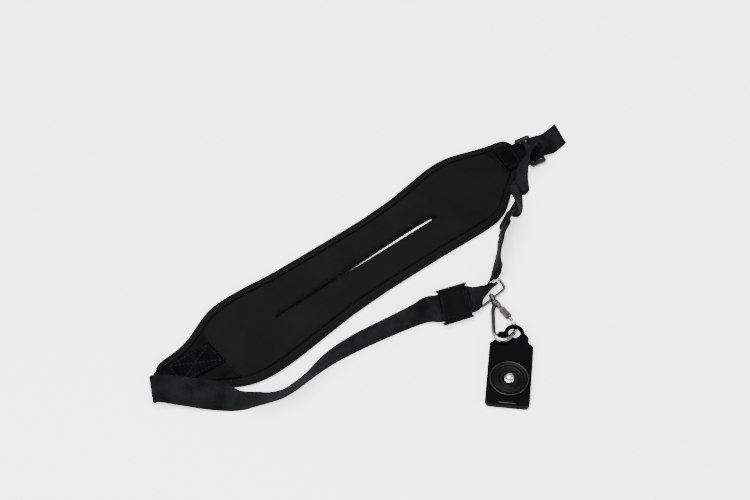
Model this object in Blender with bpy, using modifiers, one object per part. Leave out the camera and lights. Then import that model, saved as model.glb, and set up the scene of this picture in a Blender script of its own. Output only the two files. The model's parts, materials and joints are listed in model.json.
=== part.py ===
"""Camera neck strap: a padded shoulder piece, one long webbing that makes the loop, and a swivel
snap hook with a small mounting plate for a camera. Blender 4.5, metres, +Z up, lying on a floor.

Positions are given in millimetres from the middle of the shoulder pad, with X along the pad, and
one parent empty moves the whole strap so that its box is centred over the origin.
"""

from math import cos, hypot, pi, radians, sin

import bmesh
import bpy
from mathutils import Matrix, Vector

MM = 0.001

# Driving dimensions, in millimetres and degrees
BOX_CENTRE = (14.6, -79.24)  # middle of the strap's box, from the middle of the pad
GAP = 0.3  # between pieces that touch on the real strap

PAD_LEFT, PAD_RIGHT = -204.0, 200.0
PAD_TIP = 16.0  # length of each rounded end
PAD_LEFT_TURN, PAD_RIGHT_TURN = 0.0, -12.0  # heading of each end
PAD_TIP_POWER = 0.72  # 1 gives half an ellipse, less gives a squarer end
PAD_FACE, PAD_END_FACE = 7.0, 5.0  # thickness in the middle and at the sewn ends
PAD_FLAT_STARTS, PAD_FLAT_LENGTH = 105.0, 40.0
PAD_EDGE_Z, PAD_TONGUE = 2.7, 2.4  # middle and thickness of the pad's edge inside the binding
SLIT_FROM, SLIT_TO, SLIT_WIDTH = (-87.0, 1.6), (90.0, -6.9), 5.0

BINDING_WRAP, BINDING_WALL = 7.0, 1.1
PATCH = 1.0
LEFT_SEAM, RIGHT_SEAM = 147.0, 172.0  # where the end patches start, from the middle

WEB, WEB_THICK = 25.0, 1.5
SEWN_WEB_Z = 7.4  # middle height of webbing sewn on an end patch

STOPPER_AT = (36.4, -92.3, 13.6)
STOPPER_HEADING, STOPPER_LIFT = -20.0, 44.0
STOPPER_LONG, STOPPER_WIDE, STOPPER_DEEP = 25.5, 30.5, 7.6
STOPPER_SLOT = (26.0, 2.4)

RING_FAR_BAR = (71.0, -95.4, 9.1)
RING_NEAR_BAR = (71.4, -104.8, 3.3)
RING_HEADING = 3.0
RING_LONG, RING_WIRE, RING_CORNER = 30.0, 3.0, 3.0
BOSS_RADIUS, BOSS_HALF, PIN_HOLE = 2.7, 2.7, 1.6

SWIVEL_AT = (70.4, -104.8, 3.3)
SWIVEL_HEADING = -110.0
HOOK_WIRE = 4.3
GATE_AT = (69.5, -114.1, 3.4)
GATE_HEADING = -94.8
GATE_ROD, GATE_LENGTH = 3.2, 18.7
GATE_PIN, GATE_PIN_HOLE = 0.6, 0.9
CHEEK_RADIUS, CHEEK_ROOT = 1.9, (69.75, -110.1)
NUT_ROUND, NUT_FROM, NUT_TO, NUT_BORE = 6.3, 3.2, 15.0, 3.8

PLATE_AT = (28.6, -171.8, 0.0)
PLATE_HEADING = 43.6
PLATE_LONG, PLATE_WIDE, PLATE_TOP, PLATE_CORNER = 62.0, 38.0, 7.0, 4.0
EAR_AT, EAR_RADIUS, EAR_HOLE, EAR_UNDER = (41.0, -1.5), 9.0, 5.2, 4.7
DISC_OUT, DISC_RADIUS, DISC_TOP = -6.4, 16.5, 9.1
SCREW_RADIUS, SCREW_TOP, SCREW_HEAD = 3.175, 13.4, 7.5
SLOT_OUT, SLOT_LONG, SLOT_WIDE = -27.4, 15.5, 3.0

SLIDER_AT = (130.1, -56.4, 16.1)
SLIDER_HEADING, SLIDER_LIFT = 31.0, 77.0
SLIDER_LONG, SLIDER_WIDE, SLIDER_BAR, SLIDER_THICK, SLIDER_RAIL = 20.0, 32.0, 2.4, 2.2, 2.6

BUCKLE_AT = (208.0, -5.5, 4.0)
BUCKLE_HEADING = -12.0
BUCKLE_LONG, BUCKLE_WIDE, BUCKLE_THICK, BUCKLE_WINDOW = 16.0, 35.0, 2.8, 26.6
BUCKLE_SLOTS = ((-5.4, -0.55), (2.05, 5.2))


# Scene, materials and the empties that carry the pieces

for old in list(bpy.data.objects):
    bpy.data.objects.remove(old, do_unlink=True)
parts = bpy.data.collections.new("camera_neck_strap")
cutters = bpy.data.collections.new("cutters")
bpy.context.scene.collection.children.link(parts)
bpy.context.scene.collection.children.link(cutters)

strap_frame = bpy.data.objects.new("strap_frame", None)
strap_frame.location = (-BOX_CENTRE[0] * MM, -BOX_CENTRE[1] * MM, 0.0)
parts.objects.link(strap_frame)
in_strap = {strap_frame: Matrix()}  # where each empty is, measured from the middle of the pad


def frame(name, at, turn, parent=strap_frame):
    """An empty at a place on the strap, in millimetres, turned about +Z by degrees."""
    empty = bpy.data.objects.new(name, None)
    parts.objects.link(empty)
    in_strap[empty] = Matrix.Translation(Vector(at) * MM) @ Matrix.Rotation(radians(turn), 4, "Z")
    empty.parent = parent
    empty.matrix_basis = in_strap[parent].inverted() @ in_strap[empty]
    return empty


swivel_frame = frame("swivel_frame", SWIVEL_AT, SWIVEL_HEADING)
gate_frame = frame("gate_frame", GATE_AT, GATE_HEADING, parent=swivel_frame)
plate_frame = frame("plate_frame", PLATE_AT, PLATE_HEADING, parent=swivel_frame)


def finish(name, colour, roughness, metallic=0.0):
    material = bpy.data.materials.new(name)
    material.use_nodes = True
    shader = material.node_tree.nodes["Principled BSDF"]
    shader.inputs["Base Color"].default_value = (*colour, 1.0)
    shader.inputs["Roughness"].default_value = roughness
    shader.inputs["Metallic"].default_value = metallic
    return material


PAD_CLOTH = finish("pad_cloth", (0.012, 0.012, 0.013), 0.85)
BINDING_TAPE = finish("binding_tape", (0.010, 0.010, 0.011), 0.75)
WEBBING = finish("webbing", (0.030, 0.034, 0.038), 0.8)
MOULDED = finish("moulded_plastic", (0.014, 0.014, 0.015), 0.42)
BRIGHT_METAL = finish("bright_metal", (0.72, 0.71, 0.68), 0.2, 1.0)
PLATE_PAINT = finish("plate_paint", (0.013, 0.014, 0.015), 0.45)
RUBBER = finish("rubber", (0.018, 0.019, 0.019), 0.65)


# Shared ways of making a shape

def place(name, mesh, material, parent=strap_frame):
    """Adds a piece whose mesh is measured from the middle of the pad, carried by an empty."""
    mesh.name = name
    mesh.materials.clear()
    mesh.materials.append(material)
    mesh.transform(in_strap[parent].inverted())
    mesh.shade_smooth()
    mesh.set_sharp_from_angle(angle=radians(38))
    obj = bpy.data.objects.new(name, mesh)
    parts.objects.link(obj)
    obj.parent = parent
    return obj


def mesh_of(bm):
    bmesh.ops.remove_doubles(bm, verts=bm.verts, dist=0.01 * MM)
    bmesh.ops.recalc_face_normals(bm, faces=bm.faces)
    mesh = bpy.data.meshes.new("shape")
    bm.to_mesh(mesh)
    bm.free()
    return mesh


def loft(rings, ends="capped"):
    """A mesh through rings of points in millimetres. Its ends are capped, joined or left alone."""
    bm = bmesh.new()
    rows = [[bm.verts.new(Vector(point) * MM) for point in ring] for ring in rings]
    count = len(rows[0])
    pairs = list(zip(rows, rows[1:]))
    if ends == "joined":
        pairs.append((rows[-1], rows[0]))
    for first, second in pairs:
        for i in range(count):
            j = (i + 1) % count
            bm.faces.new((first[i], first[j], second[j], second[i]))
    if ends == "capped":
        bm.faces.new(rows[0])
        bm.faces.new(list(reversed(rows[-1])))
    return mesh_of(bm)


def settled(obj):
    """The welded mesh of an object's curve or modifiers. The object itself is removed."""
    parts.objects.link(obj)
    bpy.context.view_layer.update()
    graph = bpy.context.evaluated_depsgraph_get()
    bm = bmesh.new()
    evaluated = bpy.data.meshes.new_from_object(obj.evaluated_get(graph))
    bm.from_mesh(evaluated)
    bpy.data.meshes.remove(evaluated)
    bpy.data.objects.remove(obj, do_unlink=True)
    return mesh_of(bm)


def wire(points, thickness, cyclic=False):
    """A round wire through points in millimetres."""
    curve = bpy.data.curves.new("wire", "CURVE")
    curve.dimensions = "3D"
    curve.bevel_depth = thickness / 2 * MM
    curve.bevel_resolution = 2
    curve.use_fill_caps = True
    spline = curve.splines.new("POLY")
    spline.points.add(len(points) - 1)
    spline.use_cyclic_u = cyclic
    for slot, point in zip(spline.points, points):
        slot.co = (*(Vector(point) * MM), 1.0)
    return settled(bpy.data.objects.new("wire", curve))


def slab(outlines, low, high, rounding=0.0):
    """A flat plate between two heights, with rounded rims. Outlines after the first are holes."""
    curve = bpy.data.curves.new("slab", "CURVE")
    curve.dimensions = "2D"
    curve.fill_mode = "BOTH"
    curve.extrude = ((high - low) / 2 - rounding) * MM
    curve.bevel_depth = rounding * MM
    curve.bevel_resolution = 1
    curve.offset = -rounding * MM
    for outline in outlines:
        spline = curve.splines.new("POLY")
        spline.points.add(len(outline) - 1)
        spline.use_cyclic_u = True
        for slot, (x, y) in zip(spline.points, outline):
            slot.co = (x * MM, y * MM, 0.0, 1.0)
    mesh = settled(bpy.data.objects.new("slab", curve))
    mesh.transform(Matrix.Translation((0.0, 0.0, (low + high) / 2 * MM)))
    return mesh


def turned(profile, steps=24, closed=False):
    """A turned shape about +Z from (radius, height) pairs. A closed profile makes a ring."""
    mesh = bpy.data.meshes.new("profile")
    last = len(profile) - 1
    edges = [(i, i + 1) for i in range(last)]
    if closed:
        edges.append((last, 0))
    mesh.from_pydata([(radius * MM, 0.0, height * MM) for radius, height in profile], edges, [])
    obj = bpy.data.objects.new("turned", mesh)
    lathe = obj.modifiers.new("lathe", "SCREW")
    lathe.axis = "Z"
    lathe.steps = steps
    lathe.render_steps = steps
    lathe.use_merge_vertices = True
    lathe.merge_threshold = 0.01 * MM
    return settled(obj)


def moved(mesh, matrix):
    mesh.transform(matrix)
    return mesh


def combine(target, mesh, operation):
    """Joins or cuts a piece with a mesh measured from the middle of the pad."""
    tool = bpy.data.objects.new(target.name + "_" + operation.lower(), mesh)
    mesh.transform(in_strap[target.parent].inverted())
    cutters.objects.link(tool)
    tool.parent = target.parent
    tool.hide_render = True
    tool.display_type = "WIRE"
    change = target.modifiers.new(operation.lower(), "BOOLEAN")
    change.operation = operation
    change.solver = "EXACT"
    change.object = tool


def arc(centre, radius, start, end, steps):
    """Points on an arc between two angles in degrees, both ends kept."""
    turns = [radians(start + (end - start) * i / steps) for i in range(steps + 1)]
    return [(centre[0] + radius * cos(turn), centre[1] + radius * sin(turn)) for turn in turns]


def rounded_box(long, wide, corner, steps=3, centre=(0.0, 0.0)):
    """The outline of a rectangle with round corners, anticlockwise from its lower right."""
    x, y = long / 2 - corner, wide / 2 - corner
    outline = []
    for (sx, sy), start in zip(((1, -1), (1, 1), (-1, 1), (-1, -1)), (-90, 0, 90, 180)):
        outline += arc((centre[0] + sx * x, centre[1] + sy * y), corner, start, start + 90, steps)
    return outline


def stadium(first, last, radius, steps=8):
    """The outline round two circles of the same radius."""
    way = (Vector(last) - Vector(first)).to_2d()
    turn = -way.angle_signed(Vector((1.0, 0.0))) if way.length else 0.0
    turn = turn * 180 / pi
    around = arc(last, radius, -turn - 90, -turn + 90, steps)
    return around + arc(first, radius, -turn + 90, -turn + 270, steps)


def smooth(rows, steps):
    """A smooth curve through rows of equal length, with a number of steps between two rows."""
    padded = [rows[0], *rows, rows[-1]]
    result = []
    for a, b, c, d in zip(padded, padded[1:], padded[2:], padded[3:]):
        for i in range(steps):
            t = i / steps
            result.append(tuple(
                0.5 * (2 * q + (r - p) * t + (2 * p - 5 * q + 4 * r - s) * t * t
                       + (3 * q - p - 3 * r + s) * t ** 3)
                for p, q, r, s in zip(a, b, c, d)
            ))
    result.append(tuple(rows[-1]))
    return result


def heading(turn, lift=0.0):
    """A unit vector from its heading about +Z and its lift above the floor, in degrees."""
    flat = cos(radians(lift))
    return Vector((cos(radians(turn)) * flat, sin(radians(turn)) * flat, sin(radians(lift))))


def axes(first, second, at):
    """A matrix that lays local X along first, local Y near second, with its origin at a place."""
    third = first.cross(second).normalized()
    turn = Matrix((first, third.cross(first), third)).transposed().to_4x4()
    return Matrix.Translation(Vector(at) * MM) @ turn


def upright_on(direction, at):
    """A matrix that lays local Z along a direction, with its origin at a place."""
    turn = direction.to_track_quat("Z", "Y").to_matrix().to_4x4()
    return Matrix.Translation(Vector(at) * MM) @ turn


def eased(t):
    t = min(max(t, 0.0), 1.0)
    return t * t * (3 - 2 * t)


# Shoulder pad: a long soft plate, widest towards its ends, with a slit that parts its middle

PAD_EDGES = (  # distance from the middle, near edge, far edge
    (-188.0, -12.0, 30.3), (-175.0, -18.5, 30.5), (-162.0, -27.3, 33.0), (-152.0, -33.8, 36.9),
    (-142.0, -38.4, 41.2), (-130.0, -41.4, 45.3), (-118.0, -42.8, 46.8), (-105.0, -42.9, 46.4),
    (-88.0, -42.2, 44.7), (-62.0, -40.4, 41.2), (-32.0, -38.7, 39.2), (5.0, -39.0, 36.9),
    (38.0, -40.7, 35.4), (70.0, -42.6, 35.8), (95.0, -44.5, 38.3), (115.0, -46.0, 40.6),
    (128.0, -46.0, 40.9), (138.0, -44.3, 39.8), (148.0, -39.7, 37.3), (160.0, -31.3, 32.8),
    (172.0, -24.0, 28.2), (184.0, -17.6, 24.3),
)
PAD_STATIONS = (  # where the sides have a corner point
    -188, -181, -175, -168, -162, -157, -152, -147, -142, -136, -130, -124, -118, -105, -88, -62,
    -32, 5, 38, 70, 95, 107, 118, 128, 133, 138, 143, 148, 154, 160, 166, 172, 178, 184,
)
PAD_TIP_STEPS = 10


def pad_edge(x, side):
    """The pad's near edge, side 1, or far edge, side 2, at x: a smooth curve through PAD_EDGES."""
    first = PAD_EDGES[0]
    rows = [(first[0] - 10.0, *first[1:]), *PAD_EDGES, (PAD_EDGES[-1][0] + 10.0, *PAD_EDGES[-1][1:])]
    for before, low, high, after in zip(rows, rows[1:], rows[2:], rows[3:]):
        if x <= high[0]:
            run = high[0] - low[0]
            t = (x - low[0]) / run
            start = (high[side] - before[side]) / (high[0] - before[0]) * run
            end = (after[side] - low[side]) / (after[0] - low[0]) * run
            rise = 3 * t * t - 2 * t ** 3
            ramps = start * (t ** 3 - 2 * t * t + t) + end * (t ** 3 - t * t)
            return low[side] * (1 - rise) + high[side] * rise + ramps
    return PAD_EDGES[-1][side]


def pad_side(side, start, end):
    """Pairs of an edge point and the spine point that it faces, along one side of the pad."""
    stations = [x for x in PAD_STATIONS if min(start, end) < x < max(start, end)]
    pairs = []
    for x in (start, *sorted(stations, reverse=end < start)):
        pairs.append(((x, pad_edge(x, side)), (x, (pad_edge(x, 1) + pad_edge(x, 2)) / 2)))
    return pairs


def pad_tip(end, turn):
    """Such pairs round one end of the pad, anticlockwise, turned by degrees."""
    out = 1 if end > 0 else -1
    x = end - out * PAD_TIP
    near, far = pad_edge(x, 1), pad_edge(x, 2)
    base = (x, (near + far) / 2)
    along = heading(turn) * out
    across = heading(turn + 90) * out * (far - near) / 2
    pairs = []
    for i in range(PAD_TIP_STEPS):
        angle = pi * i / PAD_TIP_STEPS
        reach = sin(angle) ** PAD_TIP_POWER * PAD_TIP
        lean = abs(cos(angle)) ** PAD_TIP_POWER
        lean = lean if i * 2 < PAD_TIP_STEPS else -lean
        point = Vector((*base, 0.0)) + along * reach - across * lean
        pairs.append(((point.x, point.y), base))
    return pairs


LEFT_BASE, RIGHT_BASE = PAD_LEFT + PAD_TIP, PAD_RIGHT - PAD_TIP
pad_outline = (
    pad_side(1, LEFT_BASE, RIGHT_BASE) + pad_tip(PAD_RIGHT, PAD_RIGHT_TURN)
    + pad_side(2, RIGHT_BASE, LEFT_BASE) + pad_tip(PAD_LEFT, PAD_LEFT_TURN)
)


def inset_point(pair, inset):
    (ex, ey), (sx, sy) = pair
    share = min(inset / hypot(sx - ex, sy - ey), 1.0)
    return (ex + (sx - ex) * share, ey + (sy - ey) * share)


def pad_ring(inset, height):
    """A ring round the pad, inset from its outer edge, at a height that may depend on x."""
    points = [inset_point(pair, inset) for pair in pad_outline]
    return [(x, y, height(x) if callable(height) else height) for x, y in points]


def pad_face(share):
    """A height between the tongue's top, at 0, and the pad's face, at 1."""
    low = PAD_EDGE_Z + PAD_TONGUE / 2

    def height(x):
        thinning = (PAD_FACE - PAD_END_FACE) * eased((abs(x) - PAD_FLAT_STARTS) / PAD_FLAT_LENGTH)
        return low + (PAD_FACE - thinning - low) * share

    return height


SPINE = 1000.0  # an inset that stops on the spine
EDGE_INSET = BINDING_WALL + GAP
STEP_INSET = BINDING_WRAP + GAP
TONGUE_UNDER, TONGUE_OVER = PAD_EDGE_Z - PAD_TONGUE / 2, PAD_EDGE_Z + PAD_TONGUE / 2

pad_rings = [
    pad_ring(SPINE, 0.0),
    pad_ring(STEP_INSET + 5.0, 0.0),
    pad_ring(STEP_INSET, 0.5),
    pad_ring(STEP_INSET, TONGUE_UNDER),
    pad_ring(EDGE_INSET, TONGUE_UNDER),
    pad_ring(EDGE_INSET, TONGUE_OVER),
    pad_ring(STEP_INSET, TONGUE_OVER),
    pad_ring(STEP_INSET, pad_face(0.4)),
    pad_ring(STEP_INSET + 2.5, pad_face(0.82)),
    pad_ring(STEP_INSET + 8.0, pad_face(1.0)),
    pad_ring(SPINE, pad_face(1.0)),
]
shoulder_pad = place("shoulder_pad", loft(pad_rings, ends="folded on the spine"), PAD_CLOTH)


def slit_outline():
    """The slit's outline: its near edge straight, its far edge parted from it towards the right."""
    steps = 12
    near, far = [], []
    for i in range(steps + 1):
        share = i / steps
        parted = 0.24 + 0.76 * eased((share - 0.27) / 0.45)
        width = SLIT_WIDTH * parted * sin(pi * (0.05 + 0.9 * share)) ** 0.3
        x = SLIT_FROM[0] + (SLIT_TO[0] - SLIT_FROM[0]) * share
        y = SLIT_FROM[1] + (SLIT_TO[1] - SLIT_FROM[1]) * share
        near.append((x, y))
        far.append((x, y + width))
    return near + far[::-1]


combine(shoulder_pad, slab([slit_outline()], -3.0, 12.0), "DIFFERENCE")


# Binding: a tape folded round the pad's edge, a C in section

BINDING_SECTION = (  # inset from the outer edge, height
    (BINDING_WRAP, 4.3), (BINDING_WALL, 4.25), (BINDING_WALL, 1.15), (BINDING_WRAP, 1.1),
    (BINDING_WRAP, 0.1), (1.3, 0.15), (0.0, 1.5), (0.0, 3.9), (1.3, 5.2), (BINDING_WRAP, 5.3),
)
binding_rings = [pad_ring(inset, height) for inset, height in BINDING_SECTION]
place("pad_binding", loft(binding_rings, ends="joined"), BINDING_TAPE)


# End patches: a facing sewn over each end of the pad, inside the binding

def end_patch(name, end, turn, seam, bow):
    """A sheet from a bowed seam across the pad to its tip."""
    out = 1 if end > 0 else -1
    first, second = (1, 2) if end > 0 else (2, 1)
    base = end - out * PAD_TIP
    pairs = pad_side(first, out * seam, base) + pad_tip(end, turn) + pad_side(second, base, out * seam)
    pairs += pad_side(second, out * seam, base)[:1]
    outline = [inset_point(pair, STEP_INSET + 0.9) for pair in pairs]
    start, stop = outline[-1], outline[0]
    steps = 8
    for i in range(1, steps):
        share = i / steps
        x = start[0] + (stop[0] - start[0]) * share + out * bow * sin(pi * share)
        outline.append((x, start[1] + (stop[1] - start[1]) * share))
    low = PAD_END_FACE + GAP
    place(name, slab([outline], low, low + PATCH), PAD_CLOTH)


end_patch("left_end_patch", PAD_LEFT, PAD_LEFT_TURN, LEFT_SEAM, 1.5)
end_patch("right_end_patch", PAD_RIGHT, PAD_RIGHT_TURN, RIGHT_SEAM, 3.0)


# Webbing: a band through rows of a place on its first edge and the direction across it

def three_lines(rows):
    """Rows of the band's first edge, middle and second edge, nine numbers each."""
    lines = []
    for x, y, z, turn, lift in rows:
        edge, across = Vector((x, y, z)), heading(turn, lift) * WEB
        lines.append((*edge, *(edge + across / 2), *(edge + across)))
    return lines


def band(lines, steps):
    """A band of webbing through such rows, as thick as WEB_THICK."""
    dense = smooth(lines, steps)
    rows = [[Vector(row[k:k + 3]) for k in (0, 3, 6)] for row in dense]
    last = len(rows) - 1
    outs = []
    for i, row in enumerate(rows):
        along = rows[min(i + 1, last)][1] - rows[max(i - 1, 0)][1]
        halves = (row[1] - row[0], row[2] - row[0], row[2] - row[1])
        outs.append([along.cross(across).normalized() for across in halves])
    rings = []
    for i, row in enumerate(rows):
        under, over = [], []
        for k, point in enumerate(row):
            out = outs[max(i - 1, 0)][k] + outs[i][k] * 2 + outs[min(i + 1, last)][k]
            out = out.normalized() * WEB_THICK / 2
            under.append(point - out)
            over.append(point + out)
        rings.append(under + over[::-1])
    return loft(rings)


FLOOR = 0.4  # height of the edge that the webbing stands on

LEFT_END_ROWS = (  # x, y, z, heading across, lift across: sewn on the pad, then folded back
    (-150.0, -7.5, SEWN_WEB_Z, 90, 0), (-175.0, -4.5, SEWN_WEB_Z, 90, 0),
    (-199.0, -1.9, SEWN_WEB_Z, 86, 0), (-205.5, -1.8, 7.0, 80, 2), (-212.0, -1.5, 5.3, 71, 5),
    (-217.6, -0.9, 4.2, 63, 8), (-219.7, -0.3, 4.7, 62, 8), (-220.2, -0.4, 5.7, 61, 8),
    (-219.4, -1.1, 6.9, 59, 8), (-216.0, -4.5, 7.7, 55, 10), (-211.0, -9.8, 6.8, 48, 14),
    (-203.0, -18.0, 5.0, 43, 19), (-192.0, -29.6, 3.0, 42, 28), (-181.0, -40.0, 1.6, 44, 46),
    (-172.0, -47.2, 0.7, 50, 67), (-165.0, -51.6, 0.5, 57, 80),
)
LOWER_RUN_ROWS = (  # standing on its edge along the pad's near side
    (-159.7, -53.9, FLOOR, 64, 86), (-151.4, -57.0, FLOOR, 69, 94),
    (-143.2, -60.3, FLOOR, 71, 101), (-133.0, -63.8, FLOOR, 77, 103),
    (-121.0, -65.2, FLOOR, 87, 101), (-108.0, -65.0, FLOOR, 92, 99),
    (-90.0, -64.9, FLOOR, 90, 91), (-72.0, -66.2, FLOOR, 84, 86),
    (-50.0, -69.8, FLOOR, 79, 82), (-25.0, -75.2, FLOOR, 76, 79), (-2.0, -81.2, 0.8, 73, 73),
    (11.5, -87.0, 2.4, 71, 59), (18.2, -94.6, 4.7, 70, 46),
    (21.1, -96.3, 4.9, 70, 44), (33.3, -100.75, 4.9, 70, 44), (45.5, -105.2, 4.9, 70, 44),
)
THROUGH_RING_LINES = (  # first edge, middle and second edge: over the ring's left end, curled
    # round its far bar, down into its window and out under the bar
    (48.3, -106.4, 5.4, 51.7, -100.3, 14.6, 56.3, -92.1, 20.8),
    (50.6, -107.1, 6.0, 55.7, -101.2, 13.8, 62.5, -93.3, 17.2),
    (52.7, -107.4, 6.7, 60.3, -101.2, 12.4, 68.9, -94.3, 14.2),
    (54.8, -107.0, 7.2, 64.3, -99.8, 10.9, 75.2, -95.3, 12.3),
    (57.2, -105.4, 6.9, 66.8, -98.7, 9.2, 79.6, -97.6, 10.3),
    (58.7, -103.2, 5.0, 69.0, -98.5, 6.6, 83.3, -97.4, 7.2),
    (59.1, -100.8, 3.6, 70.5, -97.3, 4.9, 84.2, -96.7, 5.4),
    (59.4, -97.8, 2.9, 72.0, -95.6, 3.9, 84.8, -94.9, 4.8),
    (63.0, -93.9, 2.6, 75.5, -93.3, 4.0, 88.0, -93.1, 5.8),
    (69.5, -91.2, 2.2, 80.6, -91.8, 5.4, 90.3, -92.9, 10.8),
    (77.5, -89.2, 1.4, 85.4, -91.0, 9.4, 90.9, -93.0, 18.6),
)
AFTER_RING_ROWS = (
    (84.5, -86.4, 0.6, -45, 68), (90.5, -82.2, FLOOR, -58, 75),
    (98.0, -76.8, FLOOR, -56, 79), (108.0, -69.6, 1.2, -56, 79),
)
RIGHT_RUN_ROWS = (  # standing on its edge beside the pad's end, leaning over it in two bulges
    (147.2, -51.6, 1.3, 150, 87), (152.0, -52.6, 0.8, 147, 78), (157.5, -49.7, 0.7, 144, 66),
    (162.8, -44.4, 0.7, 142, 60), (166.6, -40.2, 0.7, 144, 63), (169.4, -36.9, 0.7, 146, 68),
    (172.6, -38.4, 0.7, 147, 62), (178.3, -36.4, 0.7, 142, 57), (182.6, -31.0, 0.7, 141, 61),
    (186.8, -25.6, 0.9, 135, 72), (191.2, -20.5, 4.2, 119, 86), (195.5, -15.2, 9.0, 114, 96),
    (199.5, -9.0, 10.2, -60, 68), (204.4, -1.5, 10.4, -80, 38), (207.6, 4.6, 9.6, -94, 15),
)
TAIL_ROWS = (
    (225.0, 4.4, 4.0, -103, 0), (232.0, 3.7, 1.9, -105, 0), (241.0, 4.2, 1.6, -106, 0),
    (250.0, 5.0, 1.6, -108, 0),
)
SLIDER_WEAVE = (  # along the slider, out of its middle plane
    (-15.0, 0.6), (-10.5, 2.3), (-7.5, 2.5), (-4.4, 0.0), (-1.3, -2.45), (1.3, -2.45),
    (4.4, 0.0), (7.5, 2.5), (10.5, 2.3), (15.0, 0.4),
)
slider_along = heading(SLIDER_HEADING)
slider_across = heading(SLIDER_HEADING - 90, SLIDER_LIFT)
slider_out = slider_along.cross(slider_across)


def slider_rows():
    rows = []
    for along, out in SLIDER_WEAVE:
        at = Vector(SLIDER_AT) + slider_along * along + slider_out * out - slider_across * WEB / 2
        rows.append((*at, SLIDER_HEADING - 90, SLIDER_LIFT))
    return rows


BUCKLE_WEAVE = (  # along the buckle, height: down its first slot, under the bar, up its second
    (-2.25, 7.0), (-2.25, 4.6), (-2.15, 3.0), (-1.4, 1.85), (0.75, 1.6), (2.9, 1.85),
    (3.65, 3.0), (3.75, 4.6), (4.5, 6.2), (7.0, 6.65), (11.0, 5.9),
)
TAB_LOOP = (  # along the buckle, height: off the pad, round the buckle's first bar
    (-31.0, SEWN_WEB_Z), (-24.0, SEWN_WEB_Z), (-16.0, SEWN_WEB_Z), (-11.5, 7.25), (-8.5, 6.75),
    (-6.6, 6.6), (-5.0, 6.15), (-4.35, 5.0), (-4.3, 4.0), (-4.35, 3.0), (-5.0, 1.95),
    (-6.6, 1.5), (-9.2, 1.5),
)


def buckle_rows(table):
    along, across = heading(BUCKLE_HEADING), heading(BUCKLE_HEADING - 90)
    start = Vector((BUCKLE_AT[0], BUCKLE_AT[1], 0.0)) - across * WEB / 2
    return [
        (*(start + along * run + Vector((0.0, 0.0, height))), BUCKLE_HEADING - 90, 0)
        for run, height in table
    ]


main_lines = [
    *three_lines((*LEFT_END_ROWS, *LOWER_RUN_ROWS)), *THROUGH_RING_LINES,
    *three_lines((*AFTER_RING_ROWS, *slider_rows(), *RIGHT_RUN_ROWS)),
    *three_lines((*buckle_rows(BUCKLE_WEAVE), *TAIL_ROWS)),
]
place("main_webbing", band(main_lines, 2), WEBBING)
place("right_tab", band(three_lines(buckle_rows(TAB_LOOP)), 2), WEBBING)


# Stopper: a moulded block that the webbing runs through, lower along its two sides

stopper_along = heading(STOPPER_HEADING)
stopper_across = heading(STOPPER_HEADING + 90, STOPPER_LIFT)
stopper_out = stopper_along.cross(stopper_across)
half, deep, flange, step = STOPPER_WIDE / 2, STOPPER_DEEP / 2, 2.4, 4.4
stopper_section = [
    (half, -flange), (half, flange), (half - step, flange), (half - step - 1.2, deep),
    (-half + step + 1.2, deep), (-half + step, flange), (-half, flange), (-half, -flange),
    (-half + step, -flange), (-half + step + 1.2, -deep), (half - step - 1.2, -deep),
    (half - step, -flange),
]
stopper_lay = axes(stopper_across, stopper_out, STOPPER_AT)
block = slab([stopper_section], -STOPPER_LONG / 2, STOPPER_LONG / 2, rounding=0.5)
strap_stopper = place("strap_stopper", moved(block, stopper_lay), MOULDED)
tunnel = slab([rounded_box(*STOPPER_SLOT, 0.8, steps=2)], -STOPPER_LONG, STOPPER_LONG)
combine(strap_stopper, moved(tunnel, stopper_lay), "DIFFERENCE")


# Ring: a rounded wire rectangle with an eye for the hook's swivel pin on its near bar

ring_near, ring_far = Vector(RING_NEAR_BAR), Vector(RING_FAR_BAR)
ring_up = (ring_far - ring_near).normalized()
ring_lay = axes(heading(RING_HEADING), ring_up, (ring_near + ring_far) / 2)
ring_points = [
    ring_lay @ (Vector((x, y, 0.0)) * MM) / MM
    for x, y in rounded_box(RING_LONG, (ring_far - ring_near).length, RING_CORNER, steps=5)
]
swivel_way = heading(SWIVEL_HEADING)
strap_ring = place("strap_ring", wire(ring_points, RING_WIRE, cyclic=True), BRIGHT_METAL)
eye = [(0.0, -BOSS_HALF), (BOSS_RADIUS, -BOSS_HALF), (BOSS_RADIUS, BOSS_HALF), (0.0, BOSS_HALF)]
combine(strap_ring, moved(turned(eye, 20), upright_on(swivel_way, SWIVEL_AT)), "UNION")
bore = [(0.0, -4.0), (PIN_HOLE, -4.0), (PIN_HOLE, 4.0), (0.0, 4.0)]
combine(strap_ring, moved(turned(bore, 20), upright_on(swivel_way, SWIVEL_AT)), "DIFFERENCE")


# Snap hook: its swivel pin, the bent wire that ends in the nose, and two cheeks for the gate

PIN_PROFILE = (  # radius, distance along the swivel axis
    (0.0, -5.3), (1.3, -5.0), (2.2, -4.2), (2.4, -3.4), (2.4, -3.0), (1.3, -3.0), (1.3, 3.0),
    (2.5, 3.0), (3.2, 4.3), (3.2, 6.6), (2.7, 7.1), (0.0, 7.1),
)
HOOK_ROUTE = (  # x, y, z of the wire's middle, from the swivel to the nose
    (67.9, -110.2, 3.3), (66.0, -111.5, 3.4), (62.6, -114.0, 3.8), (59.0, -117.7, 4.7),
    (53.0, -124.5, 6.6), (47.2, -131.1, 8.5), (43.6, -136.2, 9.5), (42.9, -141.5, 9.6),
    (45.8, -145.6, 9.6), (50.5, -146.9, 9.6), (55.4, -146.1, 9.5), (57.6, -145.2, 8.1),
    (59.6, -144.2, 5.7), (61.5, -143.0, 3.2), (63.5, -141.2, 2.25), (65.4, -138.4, 2.25),
    (66.6, -136.3, 2.7), (67.8, -134.5, 3.4),
)
hook_mesh = wire(smooth(HOOK_ROUTE, 2), HOOK_WIRE)
snap_hook = place("snap_hook", hook_mesh, BRIGHT_METAL, parent=swivel_frame)
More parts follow.
